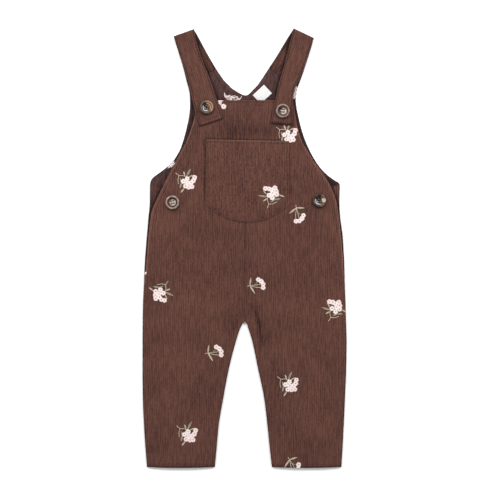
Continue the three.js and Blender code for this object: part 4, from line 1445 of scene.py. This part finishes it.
class OVERALLS_OT_buttons(bpy.types.Operator):
    """Four sewn-on buttons with a raised rim, a dished middle and four holes"""

    bl_idname = "overalls.buttons"
    bl_label = "Buttons"

    def execute(self, context):
        settings = context.scene.overalls_button
        thread = thread_finish("Button thread", settings.thread, 0.3, 0.6)
        for name, x, y, degrees, look in BUTTONS:
            base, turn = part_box(name)[0].z / MM, math.radians(degrees)
            disc = self.drilled(self.disc(settings.width / 2 / MM))
            place = Matrix.Translation(Vector((x, y, base)) * MM) @ Matrix.Rotation(turn, 4, "Z")
            bmesh.ops.transform(disc, matrix=place, verts=disc.verts[:])
            shell = tortoiseshell(f"Tortoiseshell of {name}", settings, x, y, look)
            made = shown_object(f"{name}_disc", to_mesh(f"{name}_disc", disc), [shell])
            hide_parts(name)
            strands = Strands(6, 6)
            for across in (-1.88, -1.32, 1.32, 1.88):
                wx, wy = x - across * math.sin(turn), y + across * math.cos(turn)
                strands.add(wx, wy, base + 1.95, (3.6, 0.5, 0.6), turn)
            strands.made(f"{name}_thread", [thread])
        return {"FINISHED"}

    def disc(self, radius):
        """The button's profile, from its flat back over the rim to its dished middle, spun round."""
        outside = ((7, 0), (8.1, 0.3), (radius - 0.1, 0.9), (radius, 1.5), (radius - 0.12, 2.1), (8.1, 2.75))
        inside = ((7.4, 3.05), (6.9, 3.05), (6.4, 2.8), (6, 2.3), (5.4, 1.95), (4.4, 1.85))
        bm = bmesh.new()
        line = [bm.verts.new((r * MM, 0, z * MM)) for r, z in outside + inside]
        edges = [bm.edges.new(pair) for pair in zip(line, line[1:])]
        turn_round = {"axis": (0, 0, 1), "cent": (0, 0, 0), "angle": 2 * math.pi, "steps": 48, "use_merge": True}
        bmesh.ops.spin(bm, geom=line + edges, **turn_round)
        bmesh.ops.remove_doubles(bm, verts=bm.verts[:], dist=0.002 * MM)
        bmesh.ops.holes_fill(bm, edges=[edge for edge in bm.edges if edge.is_boundary], sides=0)
        bmesh.ops.recalc_face_normals(bm, faces=bm.faces[:])
        return bm

    def drilled(self, disc):
        """The disc with four thread holes cut through it."""
        drill = bmesh.new()
        for i, j in ((-1, -1), (-1, 1), (1, -1), (1, 1)):
            spot = Matrix.Translation(Vector((i * HOLE_SHIFT, j * HOLE_SHIFT, 1)) * MM)
            size = {"radius1": HOLE_RADIUS * MM, "radius2": HOLE_RADIUS * MM, "depth": 8 * MM}
            bmesh.ops.create_cone(drill, cap_ends=True, segments=16, matrix=spot, **size)
        parts = [linked(name, to_mesh(name, form)) for name, form in (("disc", disc), ("drill", drill))]
        cutting = parts[0].modifiers.new("Holes", "BOOLEAN")
        cutting.operation, cutting.solver, cutting.object = "DIFFERENCE", "EXACT", parts[1]
        body = bmesh.new()
        body.from_object(parts[0], bpy.context.evaluated_depsgraph_get())
        for part in parts:
            mesh = part.data
            bpy.data.objects.remove(part)
            bpy.data.meshes.remove(mesh)
        return body


class OVERALLS_OT_stage(bpy.types.Operator):
    """A plain pale floor, soft studio light and the camera straight above"""

    bl_idname = "overalls.stage"
    bl_label = "Stage"

    def execute(self, context):
        stage = context.scene.overalls_stage
        finish = Finish("Pale floor", Roughness=0.9, Specular_IOR_Level=0.1)
        mottle = finish.noise(finish.where(), scale=3).between(0.3, 0.7)
        color = finish.mix(mottle, shade(stage.floor, 0.995), shade(stage.floor, 1.005))
        bm = bmesh.new()
        bmesh.ops.create_grid(bm, x_segments=4, y_segments=4, size=3)
        bmesh.ops.translate(bm, verts=bm.verts[:], vec=(0, 0, FLOOR_Z * MM))
        mesh = to_mesh("floor", bm)
        mesh.materials.append(finish.on_shader(Base_Color=color))
        floor = linked("floor", mesh)
        for name, place in LAMPS:
            lamp = bpy.data.lights.new(name, "AREA")
            lamp.shape, lamp.size, lamp.energy = "DISK", LAMP_WIDTH, stage.lamps
            light = linked(name, lamp)
            light.location = place
            light.rotation_mode = "QUATERNION"
            light.rotation_quaternion = light.location.to_track_quat("Z", "Y")
        world = bpy.data.worlds.new("studio")
        world.use_nodes = True
        background = world.node_tree.nodes["Background"]
        background.inputs["Color"].default_value = (1, 1, 1, 1)
        background.inputs["Strength"].default_value = stage.ambient
        context.scene.world = world
        context.scene.view_settings.view_transform = "Standard"
        view = bpy.data.cameras.new("camera")
        view.lens, view.sensor_width = stage.lens, SENSOR
        camera = linked("camera", view)
        camera.location = (*(shift * MM for shift in CAMERA_SHIFT), PICTURE_WIDTH * stage.lens / SENSOR + 5 * MM)
        context.scene.camera = camera
        return {"FINISHED"}


class OVERALLS_PT_sidebar(bpy.types.Panel):
    """Lists the pieces of the overalls and their settings"""

    bl_idname = "OVERALLS_PT_sidebar"
    bl_label = "Toddler overalls"
    bl_space_type = "VIEW_3D"
    bl_region_type = "UI"
    bl_category = "Overalls"

    def draw(self, context):
        for group, settings in SETTINGS.items():
            box = self.layout.box()
            box.label(text=group.capitalize())
            for name in settings.__annotations__:
                box.prop(getattr(context.scene, f"overalls_{group}"), name)
        for operator in OPERATORS:
            self.layout.operator(operator.bl_idname)


SETTINGS = {"cloth": ClothSettings, "sewing": SewingSettings, "button": ButtonSettings, "stage": StageSettings}
OPERATORS = (
    OVERALLS_OT_back,
    OVERALLS_OT_stands,
    OVERALLS_OT_front,
    OVERALLS_OT_pocket,
    OVERALLS_OT_straps,
    OVERALLS_OT_label,
    OVERALLS_OT_topstitching,
    OVERALLS_OT_embroidery,
    OVERALLS_OT_buttons,
    OVERALLS_OT_stage,
)
CLASSES = (*SETTINGS.values(), *OPERATORS, OVERALLS_PT_sidebar)


def register():
    for made in CLASSES:
        bpy.utils.register_class(made)
    for group, settings in SETTINGS.items():
        setattr(bpy.types.Scene, f"overalls_{group}", bpy.props.PointerProperty(type=settings))


def unregister():
    for group in SETTINGS:
        delattr(bpy.types.Scene, f"overalls_{group}")
    for made in reversed(CLASSES):
        bpy.utils.unregister_class(made)


def main():
    register()
    for operator in OPERATORS:
        group, name = operator.bl_idname.split(".")
        if getattr(getattr(bpy.ops, group), name)() != {"FINISHED"}:
            raise RuntimeError(f"{operator.bl_label} was not finished")


if __name__ == "__main__":
    main()
